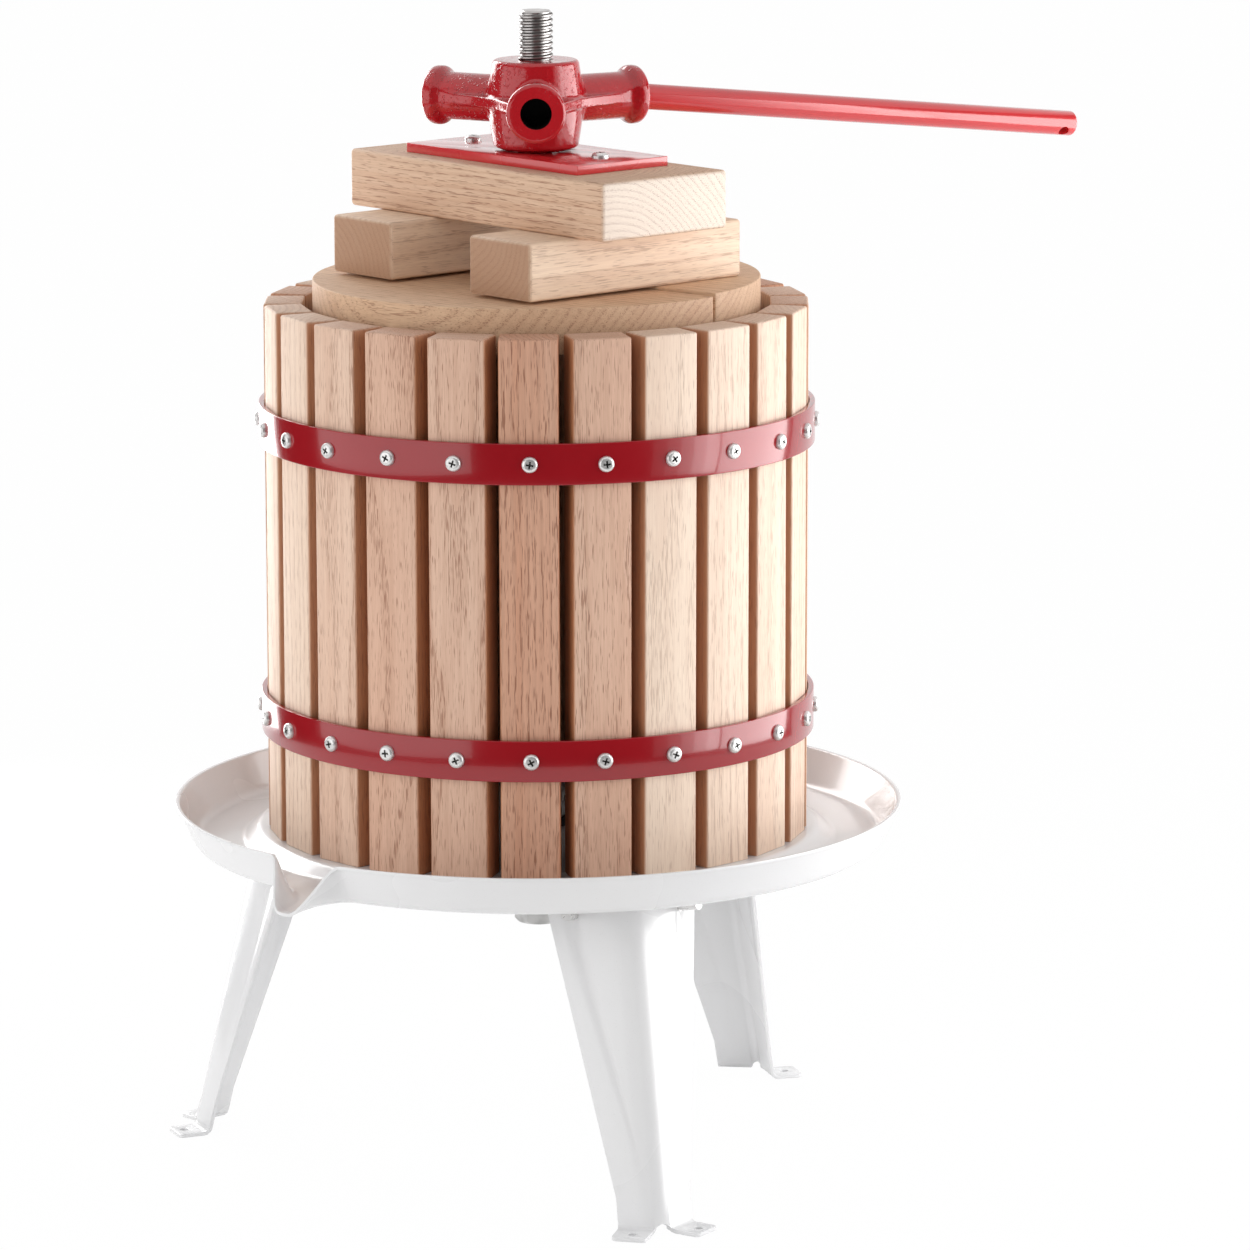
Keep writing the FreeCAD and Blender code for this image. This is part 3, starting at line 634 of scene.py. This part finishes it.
reshape(turn_off_end)
tail_line = [(0, TAIL_FLOOR), (TAIL_RADIUS - TAIL_CHAMFER, TAIL_FLOOR), (TAIL_RADIUS, TAIL_FLOOR + TAIL_CHAMFER),
             (TAIL_RADIUS, THREAD_FLOOR), (0, THREAD_FLOOR)]
tail = lathe("spindle_tail", tail_line, 48)
spindle = joined([thread, tail], "spindle_thread")
smooth(spindle, 40.0)


def turned_steel():
    """Plain steel of the thread: bright on the crests and in the roots, with painted shade darkening the flanks."""
    finish = Finish("thread_steel", Metallic=1.0)
    place = finish.place()
    distance = finish.off_axis(place)
    flank_shade = finish.rise(distance, 7.9 * MM, 8.2 * MM) * finish.rise(distance, 8.7 * MM, 8.95 * MM, 1.0, 0.0)
    drift = finish.noise(place, 210.0, 3.0)
    # Painted shade: the flanks of the thread are darkened.
    colour = finish.mix(flank_shade, rgb(0.52, 0.50, 0.49), rgb(0.10, 0.09, 0.085))
    colour = finish.mix(finish.rise(drift, 0.4, 0.75, 0.0, 0.45), colour, rgb(0.36, 0.33, 0.32))
    finish.paint(colour, 0.30 + 0.15 * flank_shade + 0.12 * drift, finish.noise(place, 2400.0), 0.008)
    return finish


def seal_rubber():
    """Dull black rubber."""
    finish = Finish("seal_rubber", Specular_IOR_Level=0.3)
    grain = finish.noise(finish.place(), 700.0, 2.0)
    finish.paint(finish.mix(grain, rgb(0.035, 0.035, 0.037), rgb(0.07, 0.07, 0.072)), 0.6 + 0.2 * grain, grain, 0.04)
    return finish


dress(spindle, turned_steel(), "stand", "spindle")
bright = plated("bright_steel", (0.60, 0.595, 0.585), 0.22)
for node in ("spindle_nut_upper", "spindle_nut_lower", "spindle_washer_lower"):
    repaint(node, bright)
repaint("spindle_washer_upper", seal_rubber())

# Staves. Twenty-four straight strips of planed, unvarnished oak stand in a ring on the tray, with narrow gaps
# for the juice. Their outer edges and tops are eased, and each was cut from another board, so no two match. Their
# sides, seen only in the gaps, are painted a darker brown as shade.
STAVE_COUNT = 24
STAVE_TURN = -1.6
STAVE_WIDTH = 30.10
STAVE_FACE = 141.26
STAVE_THICK = 20.0
STAVE_LENGTH = 278.0
STAVE_TOP = BASKET_FLOOR + STAVE_LENGTH
STAVE_TONES = (0.88, 0.58, 0.0, 0.02, 0.10, 0.12, 0.35, 0.2, 0.6, 0.3, 0.1, 0.5,
               0.3, 0.7, 0.2, 0.5, 0.15, 0.55, 0.3, 0.08, 0.12, 0.36, 0.63, 0.53)


def oak(name, light, dark, rings):
    """Ring-porous wood that runs right through each plank: rings round a far pith, dark pores, end grain."""
    finish = Finish(name, Specular_IOR_Level=0.45)
    grain = finish.stored("grain", "Vector")
    tone = finish.stored("tone")
    end = finish.stored("end")
    gap_shade = finish.stored("gap_shade")
    sway = finish.noise(finish.stretched(grain, (14, 14, 3.2)))
    wander = finish.noise(finish.stretched(grain, (90, 90, 14)))
    count = (finish.off_axis(grain) + 0.016 * sway + 0.0012 * wander) / rings
    phase = finish.add("Math", {"operation": "FRACT"}, {0: count})
    early = finish.rise(phase, 0.0, 0.55, 1.0, 0.0)
    late = finish.rise(phase, 0.80, 1.0)
    year = finish.add("TexWhiteNoise", {"noise_dimensions": "1D"}, {"W": count - phase}, "Value")
    pores = finish.noise(finish.stretched(grain, (2100, 2100, 110)), 1.0, 1.0)
    pores = finish.rise(pores + 0.12 * early, 0.60, 0.72)
    fibre = finish.noise(finish.stretched(grain, (3600, 3600, 70)))
    streak = finish.noise(finish.stretched(grain, (620, 620, 13)), 1.0, 3.0)
    cloud = finish.noise(finish.stretched(grain, (30, 30, 5)), 1.0, 3.0)
    strength = 0.38 + 0.75 * tone
    share = 0.85 * tone + 0.34 * cloud - 0.12 + 0.12 * year
    colour = finish.mix(share, light, dark)
    colour = finish.mix(early * (0.12 + 0.2 * year) * strength, colour, rgb(0.46, 0.24, 0.15))
    colour = finish.mix(late * 0.22 * strength, colour, rgb(0.50, 0.28, 0.18))
    colour = finish.mix(finish.rise(streak, 0.36, 0.60, 0.28, 0.0) * strength, colour, rgb(0.48, 0.26, 0.17))
    colour = finish.mix(finish.rise(fibre, 0.32, 0.58, 0.34, 0.0) * strength, colour, rgb(0.45, 0.24, 0.16))
    colour = finish.mix(end * 0.32, colour, rgb(0.38, 0.19, 0.10))
    colour = finish.mix(finish.rise(end, 0.0, -1.0, 0.0, 0.65), colour, rgb(0.94, 0.86, 0.77))
    # Painted shade: faces across the plank, the stave sides seen in the gaps, are darkened to brown.
    colour = finish.mix(gap_shade * 0.86, colour, rgb(0.46, 0.175, 0.065))
    colour = finish.mix(pores * 0.8 * strength, colour, rgb(0.27, 0.105, 0.055))
    height = fibre * 0.35 - pores - 0.25 * early
    finish.paint(colour, 0.58 + 0.16 * fibre, height, 0.07)
    return finish


def set_grain(piece, centre, across, along, pith, tone, end=1.0, gap_shade=0.0):
    """Stores what the wood's pattern needs: each corner's place in its plank, the plank's tone, its ends and
    the painted shade of its sides. An end above 0 is darker than the faces, and one below 0 is paler."""
    across, along = Vector(across), Vector(along)
    through = along.cross(across)
    mesh = piece.data
    local = []
    for corner in mesh.vertices:
        place = corner.co - mm(*centre)
        local += list(mm(*pith) + Vector((place.dot(across), place.dot(through), place.dot(along))))
    ends = [end * face.normal.dot(along) ** 2 for face in mesh.polygons]
    # Painted shade for the faces that face across the plank, the sides of a stave.
    side_shades = [gap_shade * face.normal.dot(across) ** 2 for face in mesh.polygons]
    mesh.attributes.new("grain", "FLOAT_VECTOR", "POINT").data.foreach_set("vector", local)
    mesh.attributes.new("tone", "FLOAT", "POINT").data.foreach_set("value", [tone] * len(mesh.vertices))
    mesh.attributes.new("end", "FLOAT", "FACE").data.foreach_set("value", ends)
    mesh.attributes.new("gap_shade", "FLOAT", "FACE").data.foreach_set("value", side_shades)


def on_floor(height, move):
    """A move that leaves the screw's axis at this height where it is."""
    floor = Matrix.Translation(mm(0, 0, height))
    return floor @ move @ floor.inverted()


def stave_turn(i):
    return turned(STAVE_TURN + i * 360 / STAVE_COUNT)


stave_middle = (0, STAVE_THICK / 2 - STAVE_FACE, BASKET_FLOOR + STAVE_LENGTH / 2)
stave = box("stave", (STAVE_WIDTH, STAVE_THICK, STAVE_LENGTH), stave_middle)
round_over(lambda edge: middle(edge).y < 0.1 - STAVE_FACE and abs(middle(edge).x) > STAVE_WIDTH / 2 - 0.1, 1.2)
round_over(above(STAVE_TOP - 0.1), 1.3)
round_over(below(BASKET_FLOOR + 0.1), 0.7, 2)
bpy.ops.object.mode_set(mode="OBJECT")
stave_wood = oak("stave_oak", rgb(0.91, 0.75, 0.605), rgb(0.60, 0.285, 0.17), 0.0032)
for i, tone in enumerate(STAVE_TONES):
    piece = copy_of(stave, "stave_%02d" % (i + 1), Matrix.Identity(4))
    pith = (chance.uniform(-70, 70), chance.choice(SIDES) * chance.uniform(15, 90), chance.uniform(-900, 900))
    # The last value puts painted shade on the stave sides.
    set_grain(piece, stave_middle, (1, 0, 0), (0, 0, 1), pith, tone, 0.5, 1.0)
    tilt = Matrix.Rotation(math.radians(chance.uniform(-0.12, 0.12)), 4, "Y")
    shorten = Matrix.Diagonal((1, 1, 1 - chance.uniform(0.0006, 0.0026), 1))
    piece.data.transform(stave_turn(i) @ on_floor(BASKET_FLOOR, tilt @ shorten))
    smooth(piece, 30.0)
    dress(piece, stave_wood, "stand", "slat_%02d" % (i + 1))
bpy.data.objects.remove(stave)

# Hoops. Two bands of 21 x 3 mm steel strip, rolled round the staves, welded at the back and painted
# in a deep glossy red, their edges eased.
HOOP_RADIUS = 145.0
HOOP_THICK = 3.0
HOOP_WIDTH = 21.0
HOOP_HEIGHTS = {"hoop_lower": 238.0, "hoop_upper": 390.0}


def gloss_red(name, ripple_scale, ripple_depth, light=1.0, coat=0.4, blur=0.03):
    """Deep red gloss paint over metal, with orange peel, slightly thin paint here and there, and a painted sheen
    that turns the lighter reds pinker.
    """
    finish = Finish(name, Specular_IOR_Level=0.5, Coat_Weight=coat, Coat_Roughness=blur)
    place = finish.place()
    peel = finish.noise(place, ripple_scale, 2.0)
    drift = finish.noise(place, 16.0, 3.0)
    # Painted sheen: for the lighter reds of the plate and bar, grey is added to green and blue, making them pinker.
    painted_sheen = 0.02 * (light - 1.0)
    thick = rgb(0.27 * light, 0.0035 + painted_sheen, 0.008 + painted_sheen)
    thin = rgb(0.34 * light, 0.006 + painted_sheen, 0.012 + painted_sheen)
    finish.paint(finish.mix(drift, thick, thin), 0.08 + blur + 0.10 * drift, peel, ripple_depth)
    return finish


red = gloss_red("red_gloss", 700.0, 0.012)
for node, height in HOOP_HEIGHTS.items():
    low, high = height - HOOP_WIDTH / 2, height + HOOP_WIDTH / 2
    inside = HOOP_RADIUS - HOOP_THICK
    band = lathe(node + "_band", [(inside, low), (HOOP_RADIUS, low), (HOOP_RADIUS, high), (inside, high)], 240)
    ease_edges(band, 0.4, 3)
    smooth(band, 30.0)
    dress(band, red, "stand", node)

# Hoop screws. A small zinc-plated pan-head screw with a cross recess goes through the hoop into every stave,
# driven by hand, so each recess stands at its own angle.
HOOP_SCREW_HEAD = (8.2, 2.4)


def hoop_seats(height):
    """The seats of a hoop's screws, each a little off its stave's middle."""
    for i in range(STAVE_COUNT):
        aside = chance.uniform(-1.0, 1.0)
        yield stave_turn(i), (aside, 0.05 - HOOP_RADIUS, height + chance.uniform(-0.4, 0.4)), (0, -1, 0)


head = cross_head("hoop_screw", *HOOP_SCREW_HEAD, 18)
for hoop, height in HOOP_HEIGHTS.items():
    node = hoop.replace("hoop", "hoop_screws")
    screw_set(node + "_set", head, hoop_seats(height), "stand", node)
bpy.data.objects.remove(head)

# Press boards. Two half-round oak boards, 25 mm thick, lie on the fruit with the screw between them.
# They are sawn to a circle, their upper edge is eased, and the front one is worn a little thinner.
BOARD_RADIUS = 116.45
BOARD_FLOOR = 441.0
BOARD_THICK = 25.0
BOARD_SPLIT = 1.5
BOARD_EDGE = 1.8
BOARD_WEAR = 1.5
WOOD_BORE = 12.0
board_turn = turned(51.0 - 90.0)
board_wood = oak("board_oak", rgb(0.87, 0.645, 0.425), rgb(0.56, 0.31, 0.175), 0.0042)
boards = (("press_board_rear", 1, 0.0, 0.30, (20, -65, 0)),
          ("press_board_front", -1, BOARD_WEAR, 0.42, (-30, 38, 400)))
for node, side, wear, tone, pith in boards:
    board = rod(node + "_half", BOARD_RADIUS, BOARD_THICK, (0, 0, BOARD_FLOOR + BOARD_THICK / 2), (0, 0, 1), 160)
    cut(board, rod("board_drill", WOOD_BORE, 60, (0, 0, BOARD_FLOOR), (0, 0, 1), 48))
    bpy.ops.object.mode_set(mode="EDIT")
    bpy.ops.mesh.select_all(action="SELECT")
    bpy.ops.mesh.bisect(plane_co=mm(0, side * BOARD_SPLIT / 2, 0), plane_no=(0, 1, 0), use_fill=True,
                        clear_inner=side > 0, clear_outer=side < 0)
    bpy.ops.object.mode_set(mode="OBJECT")
    ease_edges(board, BOARD_EDGE, 3, 60.0)
    set_grain(board, (0, 0, BOARD_FLOOR), (0, 1, 0), (1, 0, 0), pith, tone)
    board.data.transform(board_turn @ on_floor(BOARD_FLOOR, Matrix.Diagonal((1, 1, 1 - wear / BOARD_THICK, 1))))
    smooth(board, 30.0)
    dress(board, board_wood, "press_stack", node)

# Cross blocks and top block. Square-sawn oak, 30 mm thick, with rounded edges, laid crosswise over the boards
# to spread the screw's push. Their ends show the end grain.
CROSS_SIZE = (47.5, 145.0, 30.0)
CROSS_SPAN = 109.0
CROSS_FLOOR = 466.0
TOP_SIZE = (200.0, 85.0, 30.0)
TOP_FLOOR = 496.0
BLOCK_EDGE = 2.2
stack_turn = turned(41.0 - 90.0)
block_wood = oak("block_oak", rgb(0.93, 0.74, 0.56), rgb(0.58, 0.31, 0.17), 0.0034)


def block(node, size, x, floor, along, pith, tone, end):
    """A block with rounded edges and its grain, not yet turned with the stack."""
    across = (0, 1, 0) if along[0] else (1, 0, 0)
    centre = (x, 0, floor + size[2] / 2)
    piece = box(node + "_block", size, centre)
    round_over(lambda edge: True, BLOCK_EDGE, 4)
    bpy.ops.object.mode_set(mode="OBJECT")
    set_grain(piece, centre, across, along, pith, tone, end)
    return piece


right = block("cross_block_right", CROSS_SIZE, CROSS_SPAN / 2, CROSS_FLOOR, (0, 1, 0), (28, 24, 0), 0.10, 2.5)
left = block("cross_block_left", CROSS_SIZE, -CROSS_SPAN / 2, CROSS_FLOOR, (0, 1, 0), (50, -30, 500), 0.10, 2.5)
top = block("top_block", TOP_SIZE, 0, TOP_FLOOR, (1, 0, 0), (38, 55, 900), 0.47, -1.0)
cut(top, rod("block_drill", WOOD_BORE, 80, (0, 0, TOP_FLOOR), (0, 0, 1), 48))
for piece in (right, left, top):
    piece.data.transform(stack_turn)
    smooth(piece, 30.0)
    dress(piece, block_wood, "press_stack", piece.name.removesuffix("_block"))

# Press plate. A 5 mm steel plate, sheared square and painted red, takes the wear of the turning hub.
# Two zinc pan-head screws hold it on the top block.
PLATE_SIZE = (135.0, 62.0, 5.0)
PLATE_FLOOR = 526.0
PLATE_TOP = PLATE_FLOOR + PLATE_SIZE[2]
PLATE_BORE = 9.3
PLATE_SCREW_SPAN = 100.0
PLATE_SCREW_HEAD = (9.0, 2.9)
PLATE_SHANK = (2.2, 21.8)
plate = box("press_plate_sheet", PLATE_SIZE, (0, 0, PLATE_FLOOR + PLATE_SIZE[2] / 2))
bpy.ops.object.mode_set(mode="OBJECT")
cut(plate, rod("plate_drill", PLATE_BORE, 30, (0, 0, PLATE_FLOOR), (0, 0, 1), 48))
ease_edges(plate, 0.5, 2, 60.0)
plate.data.transform(stack_turn)
smooth(plate, 30.0)
dress(plate, gloss_red("plate_gloss", 500.0, 0.02, 2.2, 1.0, 0.15), "press_stack", "press_plate")
head = cross_head("plate_screw", *PLATE_SCREW_HEAD)
shank = rod("plate_shank", *PLATE_SHANK, (0, 0, -PLATE_SHANK[1] / 2), (0, 0, 1), 16)
head = joined([head, shank], "plate_screw")
plate_seats = [(stack_turn, (side * PLATE_SCREW_SPAN / 2, 0, PLATE_TOP), (0, 0, 1)) for side in SIDES]
screw_set("plate_screw_set", head, plate_seats, "press_stack", "plate_screws")
bpy.data.objects.remove(head)

# Hub. The nut that runs down the screw is one iron casting: a barrel with a waist line, three round arms with
# rolled rims and blind sockets, and a web between the arms in hollow curves. It is painted red over the
# sand-cast skin, so its gloss is broken up, and every inner corner has a fillet.
HUB_AXIS = 556.2
HUB_TOP = 577.7
HUB_FLOOR = 532.1
HUB_RADII = (22.0, 25.6, 22.2)
HUB_ROUNDING = (2.6, 6.0, 1.8)
HUB_SEAT = 531.2
HUB_SEAT_RADIUS = 18.0
HUB_BORE = 9.08
HUB_VOXEL = 0.8
ARM_AZIMUTHS = (0, 120, 240)
ARM_REACH = 61.0
ARM_RADIUS = 12.3
RIM_RADIUS = 15.4
RIM_START = 51.4
RIM_FULL = 55.2
ARM_ROUNDING = (0.0, 3.0, 2.4, 2.4)
SOCKET_RADIUS = 8.0
SOCKET_DEPTH = 39.0
WEB_THICK = 5.4
WEB_SWEEP = 56.0
WEB_HALF = 12.0
WEB_STEPS = 16

barrel_line = [(0, HUB_FLOOR), (HUB_RADII[0], HUB_FLOOR), (HUB_RADII[1], HUB_AXIS), (HUB_RADII[2], HUB_TOP),
               (0, HUB_TOP)]
barrel = lathe("hub_barrel", rounded(barrel_line, HUB_ROUNDING), 96)
seat_line = [(0, HUB_SEAT), (HUB_SEAT_RADIUS, HUB_SEAT), (HUB_SEAT_RADIUS, HUB_FLOOR + 2.6), (0, HUB_FLOOR + 2.6)]
seat_ring = lathe("hub_seat", seat_line, 96)
arm_line = [(0, 0), (ARM_RADIUS, 0), (ARM_RADIUS, RIM_START), (RIM_RADIUS, RIM_FULL), (RIM_RADIUS, ARM_REACH),
            (0, ARM_REACH)]
arm = lathe("hub_arm", rounded(arm_line, ARM_ROUNDING), 64)
bpy.ops.object.mode_set(mode="OBJECT")
arms = [copy_of(arm, "hub_arm", turned(azimuth) @ aim((0, 0, HUB_AXIS), (0, -1, 0))) for azimuth in ARM_AZIMUTHS]
bpy.data.objects.remove(arm)
wedge = math.radians(60)
web_run = WEB_SWEEP - WEB_HALF / math.tan(wedge)
web_radius = web_run * math.tan(wedge)
web_centre = (WEB_HALF / math.sin(wedge) + web_run / math.cos(wedge)) * Vector((math.sin(wedge), -math.cos(wedge)))
web_points = []
for azimuth in ARM_AZIMUTHS:
    for i in range(WEB_STEPS + 1):
        angle = wedge * i / WEB_STEPS
        way = Vector((-math.cos(angle), math.sin(angle)))
        point = Matrix.Rotation(math.radians(azimuth), 2) @ (web_centre + way * web_radius)
        web_points.append((point.x, point.y, HUB_AXIS - WEB_THICK / 2))
web = outline("hub_web", web_points, fill="NGON")
bpy.ops.mesh.select_all(action="SELECT")
bpy.ops.mesh.extrude_region_move(TRANSFORM_OT_translate={"value": mm(0, 0, WEB_THICK)})
face_outwards()
hub = joined([barrel, seat_ring, web] + arms, "hub_casting")
add_modifier(hub, "REMESH", mode="VOXEL", voxel_size=HUB_VOXEL * MM, adaptivity=0.0)
add_modifier(hub, "SMOOTH", factor=0.5, iterations=6)
drills = [rod("hub_drill", HUB_BORE, 80, (0, 0, HUB_AXIS), (0, 0, 1), 64)]
for azimuth in ARM_AZIMUTHS:
    way = turned(azimuth) @ Vector((0, -1, 0))
    centre = way * (ARM_REACH - SOCKET_DEPTH / 2 + 2) + Vector((0, 0, HUB_AXIS))
    drills.append(rod("socket_drill", SOCKET_RADIUS, SOCKET_DEPTH + 4, centre, way, 48))
cut(hub, joined(drills, "hub_drills"))


def in_socket(place):
    """One for a place inside a socket's bore."""
    for azimuth in ARM_AZIMUTHS:
        local = turned(-azimuth) @ place
        if -local.y > ARM_REACH - SOCKET_DEPTH - 1 and math.hypot(local.x, local.z - HUB_AXIS) < SOCKET_RADIUS:
            return 1.0
    return 0.0


def cast_red():
    """Red gloss over a sand casting: small lumps and pits under thick paint, rougher towards -X, and sockets
    painted near black and dull as shade in their deep bores."""
    finish = Finish("red_casting", Specular_IOR_Level=0.5, Coat_Weight=0.4, Coat_Roughness=0.04)
    place = finish.place()
    lumps = finish.noise(place, 150.0, 2.0)
    grit = finish.noise(place, 480.0, 2.0)
    fine = finish.noise(place, 1300.0, 1.0)
    drift = finish.noise(place, 35.0, 3.0)
    sideways = finish.add("SeparateXYZ", {}, {0: place})
    patch = finish.rise(drift + finish.rise(sideways, -0.004, -0.022, 0.0, 0.3), 0.47, 0.66)
    spots = finish.rise(grit, 0.56, 0.68)
    height = lumps * 0.8 + grit * 0.2 + spots * (0.08 + 0.9 * patch) + fine * 0.12
    socket_shade = finish.stored("socket_shade")
    colour = finish.mix(drift, rgb(0.39, 0.007, 0.012), rgb(0.53, 0.013, 0.020))
    # Painted shade: the inside of each socket is near black and dull.
    finish.paint(finish.mix(socket_shade, colour, rgb(0.012, 0.009, 0.009)), 0.11 + 0.08 * patch + 0.4 * socket_shade, height, 0.34)
    return finish


# Marks the faces inside the sockets for their painted shade.
socket_shades = [in_socket(face.center * 1000.0) for face in hub.data.polygons]
hub.data.attributes.new("socket_shade", "FLOAT", "FACE").data.foreach_set("value", socket_shades)
smooth(hub, 40.0)
dress(hub, cast_red(), "head", "hub")

# Bar. A loose round steel bar, painted red, stands a little way in the right-hand socket and droops by its play.
# Its outer end is rounded, with a cross hole for hanging it up.
BAR_RADIUS = 6.75
BAR_LENGTH = 296.8
BAR_INSERT = 20.0
BAR_DROOP = math.radians(6.447)
BAR_ROUNDING = {"outer": 1.6, "inner": 1.0}
BAR_HOLE_RADIUS = 3.0
BAR_HOLE_INSET = 8.0
BAR_HOLE_TURN = math.radians(40.0)
bar = rod("handle_bar_rod", BAR_RADIUS, BAR_LENGTH, (0, 0, BAR_LENGTH / 2), (0, 0, 1), 64)
bpy.ops.object.mode_set(mode="EDIT")
round_over(above(0.99 * BAR_LENGTH), BAR_ROUNDING["outer"], 4)
round_over(below(0.01), BAR_ROUNDING["inner"], 2)
bpy.ops.object.mode_set(mode="OBJECT")
hole_way = (math.sin(BAR_HOLE_TURN), -math.cos(BAR_HOLE_TURN), 0)
cut(bar, rod("bar_drill", BAR_HOLE_RADIUS, 30, (0, 0, BAR_LENGTH - BAR_HOLE_INSET), hole_way, 32))
bar_way = Vector((math.cos(BAR_DROOP), 0, -math.sin(BAR_DROOP)))
bar_start = Vector((ARM_REACH - BAR_INSERT / 2, 0, HUB_AXIS)) - bar_way * (BAR_INSERT / 2 - 0.2)
bar.data.transform(turned(ARM_AZIMUTHS[1] - 90) @ aim(bar_start, bar_way))
smooth(bar, 30.0)
dress(bar, gloss_red("bar_gloss", 260.0, 0.05, 2.0, 1.0, 0.10), "head", "handle_bar")

# Studio. A white floor and white surroundings, a dark flag round the front that only shiny things mirror,
# and soft lamps that stand round the press just above the floor, out of the camera's sight.
WHITE = rgb(1.0, 1.0, 1.0)
FLOOR_DEPTH = 0.4
FLOOR_GLOW = 0.985
FLAG_RADIUS = 1350.0
FLAG_HEIGHT = 1400.0
FLAG_AZIMUTHS = (-132, 124)


def rays(nodes, *names):
    """One where the ray is of any of these kinds."""
    kinds = [nodes.add("LightPath", {}, {}, name) for name in names]
    total = kinds[0]
    for kind in kinds[1:]:
        total = total.math("MAXIMUM", total, kind)
    return total


def set_stage(piece, finish):
    """Closes a piece of the studio and gives it its finish."""
    bpy.ops.object.mode_set(mode="OBJECT")
    piece.data.materials.append(finish.material)


floor = start(bpy.ops.mesh.primitive_plane_add, "floor", size=24.0, location=mm(0, 0, -FLOOR_DEPTH))
floor_white = Finish("floor_white")
floor_white.paint(rgb(0.90, 0.90, 0.90), 0.9)
glow = floor_white.add("Emission", {}, {"Color": WHITE, "Strength": 1.0})
lit = Socket(floor_white, floor_white.shader.outputs[0])
seen = rays(floor_white, "Is Camera Ray", "Is Glossy Ray")
mixed = floor_white.add("MixShader", {}, {0: seen * FLOOR_GLOW, 1: lit, 2: glow})
floor_white.join(mixed, floor_white.tree.nodes["Material Output"].inputs["Surface"])
set_stage(floor, floor_white)

flag = start(bpy.ops.mesh.primitive_circle_add, "dark_flag", vertices=72, radius=FLAG_RADIUS * MM,
             fill_type="NOTHING", location=(0, 0, 0.003))
choose("EDGE", lambda edge: True)
bpy.ops.mesh.extrude_region_move()
bpy.ops.transform.resize(value=(0.7, 0.7, 1.0))
choose("EDGE", lambda edge: middle(edge).length > FLAG_RADIUS - 50 and
       abs(edge.verts[0].co.length - edge.verts[1].co.length) < 0.1)
bpy.ops.mesh.extrude_region_move(TRANSFORM_OT_translate={"value": mm(0, 0, FLAG_HEIGHT)})
choose("FACE", lambda face: not FLAG_AZIMUTHS[0] < math.degrees(math.atan2(middle(face).x, -middle(face).y)) <
       FLAG_AZIMUTHS[1])
bpy.ops.mesh.delete(type="FACE")
flag_black = Finish("flag_black")
flag_black.paint(rgb(0.02, 0.02, 0.02), 0.9)
for kind in ("camera", "diffuse", "shadow", "transmission"):
    setattr(flag, "visible_" + kind, False)
set_stage(flag, flag_black)

world = bpy.data.worlds.new("studio")
bpy.context.scene.world = world
world.use_nodes = True
sky = Nodes(world.node_tree)
sky_seen = rays(sky, "Is Camera Ray", "Is Glossy Ray", "Is Transmission Ray")
background = world.node_tree.nodes["Background"]
sky.join(WHITE, background.inputs["Color"])
sky.join(0.54 + 0.46 * sky_seen, background.inputs["Strength"])


def soft_light(name, azimuth, distance, size, radiance, lights=True, shines=True):
    """A flat lamp just above the floor, facing the screw; it lights the press, is mirrored in it, or both."""
    lamp = bpy.data.lights.new(name, "AREA")
    lamp.shape = "RECTANGLE"
    lamp.size, lamp.size_y = size
    lamp.energy = radiance * math.pi * size[0] * size[1]
    holder = bpy.data.objects.new(name, lamp)
    way = turned(azimuth) @ Vector((0, -1, 0))
    place = Matrix.Translation(way * distance + Vector((0, 0, size[1] / 2 + 0.02)))
    holder.matrix_world = place @ way.to_track_quat("Z", "Y").to_matrix().to_4x4()
    holder.visible_camera = False
    holder.visible_diffuse = lights
    holder.visible_glossy = shines
    bpy.context.scene.collection.objects.link(holder)


soft_light("left_panel", -61, 1.1, (1.6, 0.9), 1.42)
soft_light("left_fill", -145, 1.0, (0.5, 1.2), 3.0, shines=False)
soft_light("left_strip", -145, 0.98, (0.5, 1.2), 5.8, lights=False)
soft_light("right_fill", 62, 1.1, (0.6, 1.1), 1.7, shines=False)
soft_light("right_key", 97, 1.0, (0.75, 0.8), 3.3, shines=False)
soft_light("right_strip", 97, 0.98, (0.75, 0.8), 4.9, lights=False)
for i, radiance in enumerate((0.5, 1.1, 2.1, 3.9, 5.5)):
    soft_light("right_blind_%d" % i, 48 + 6 * i, 1.08, (0.115, 1.1), radiance, lights=False)

# Camera. It stands where the photograph was taken from: a long lens a few steps away, looking slightly down,
# fitted to the circles of the hoops and the tray.
camera_data = bpy.data.cameras.new("camera")
camera_data.lens = 185.94
camera_data.sensor_width = 36.0
camera = bpy.data.objects.new("camera", camera_data)
camera.location = (-0.0018, -3.3263, 0.9342)
camera.rotation_euler = (math.radians(90 - 11.128), math.radians(0.05), math.radians(-0.83))
bpy.context.scene.collection.objects.link(camera)
bpy.context.scene.camera = camera
bpy.context.scene.view_settings.view_transform = "Standard"
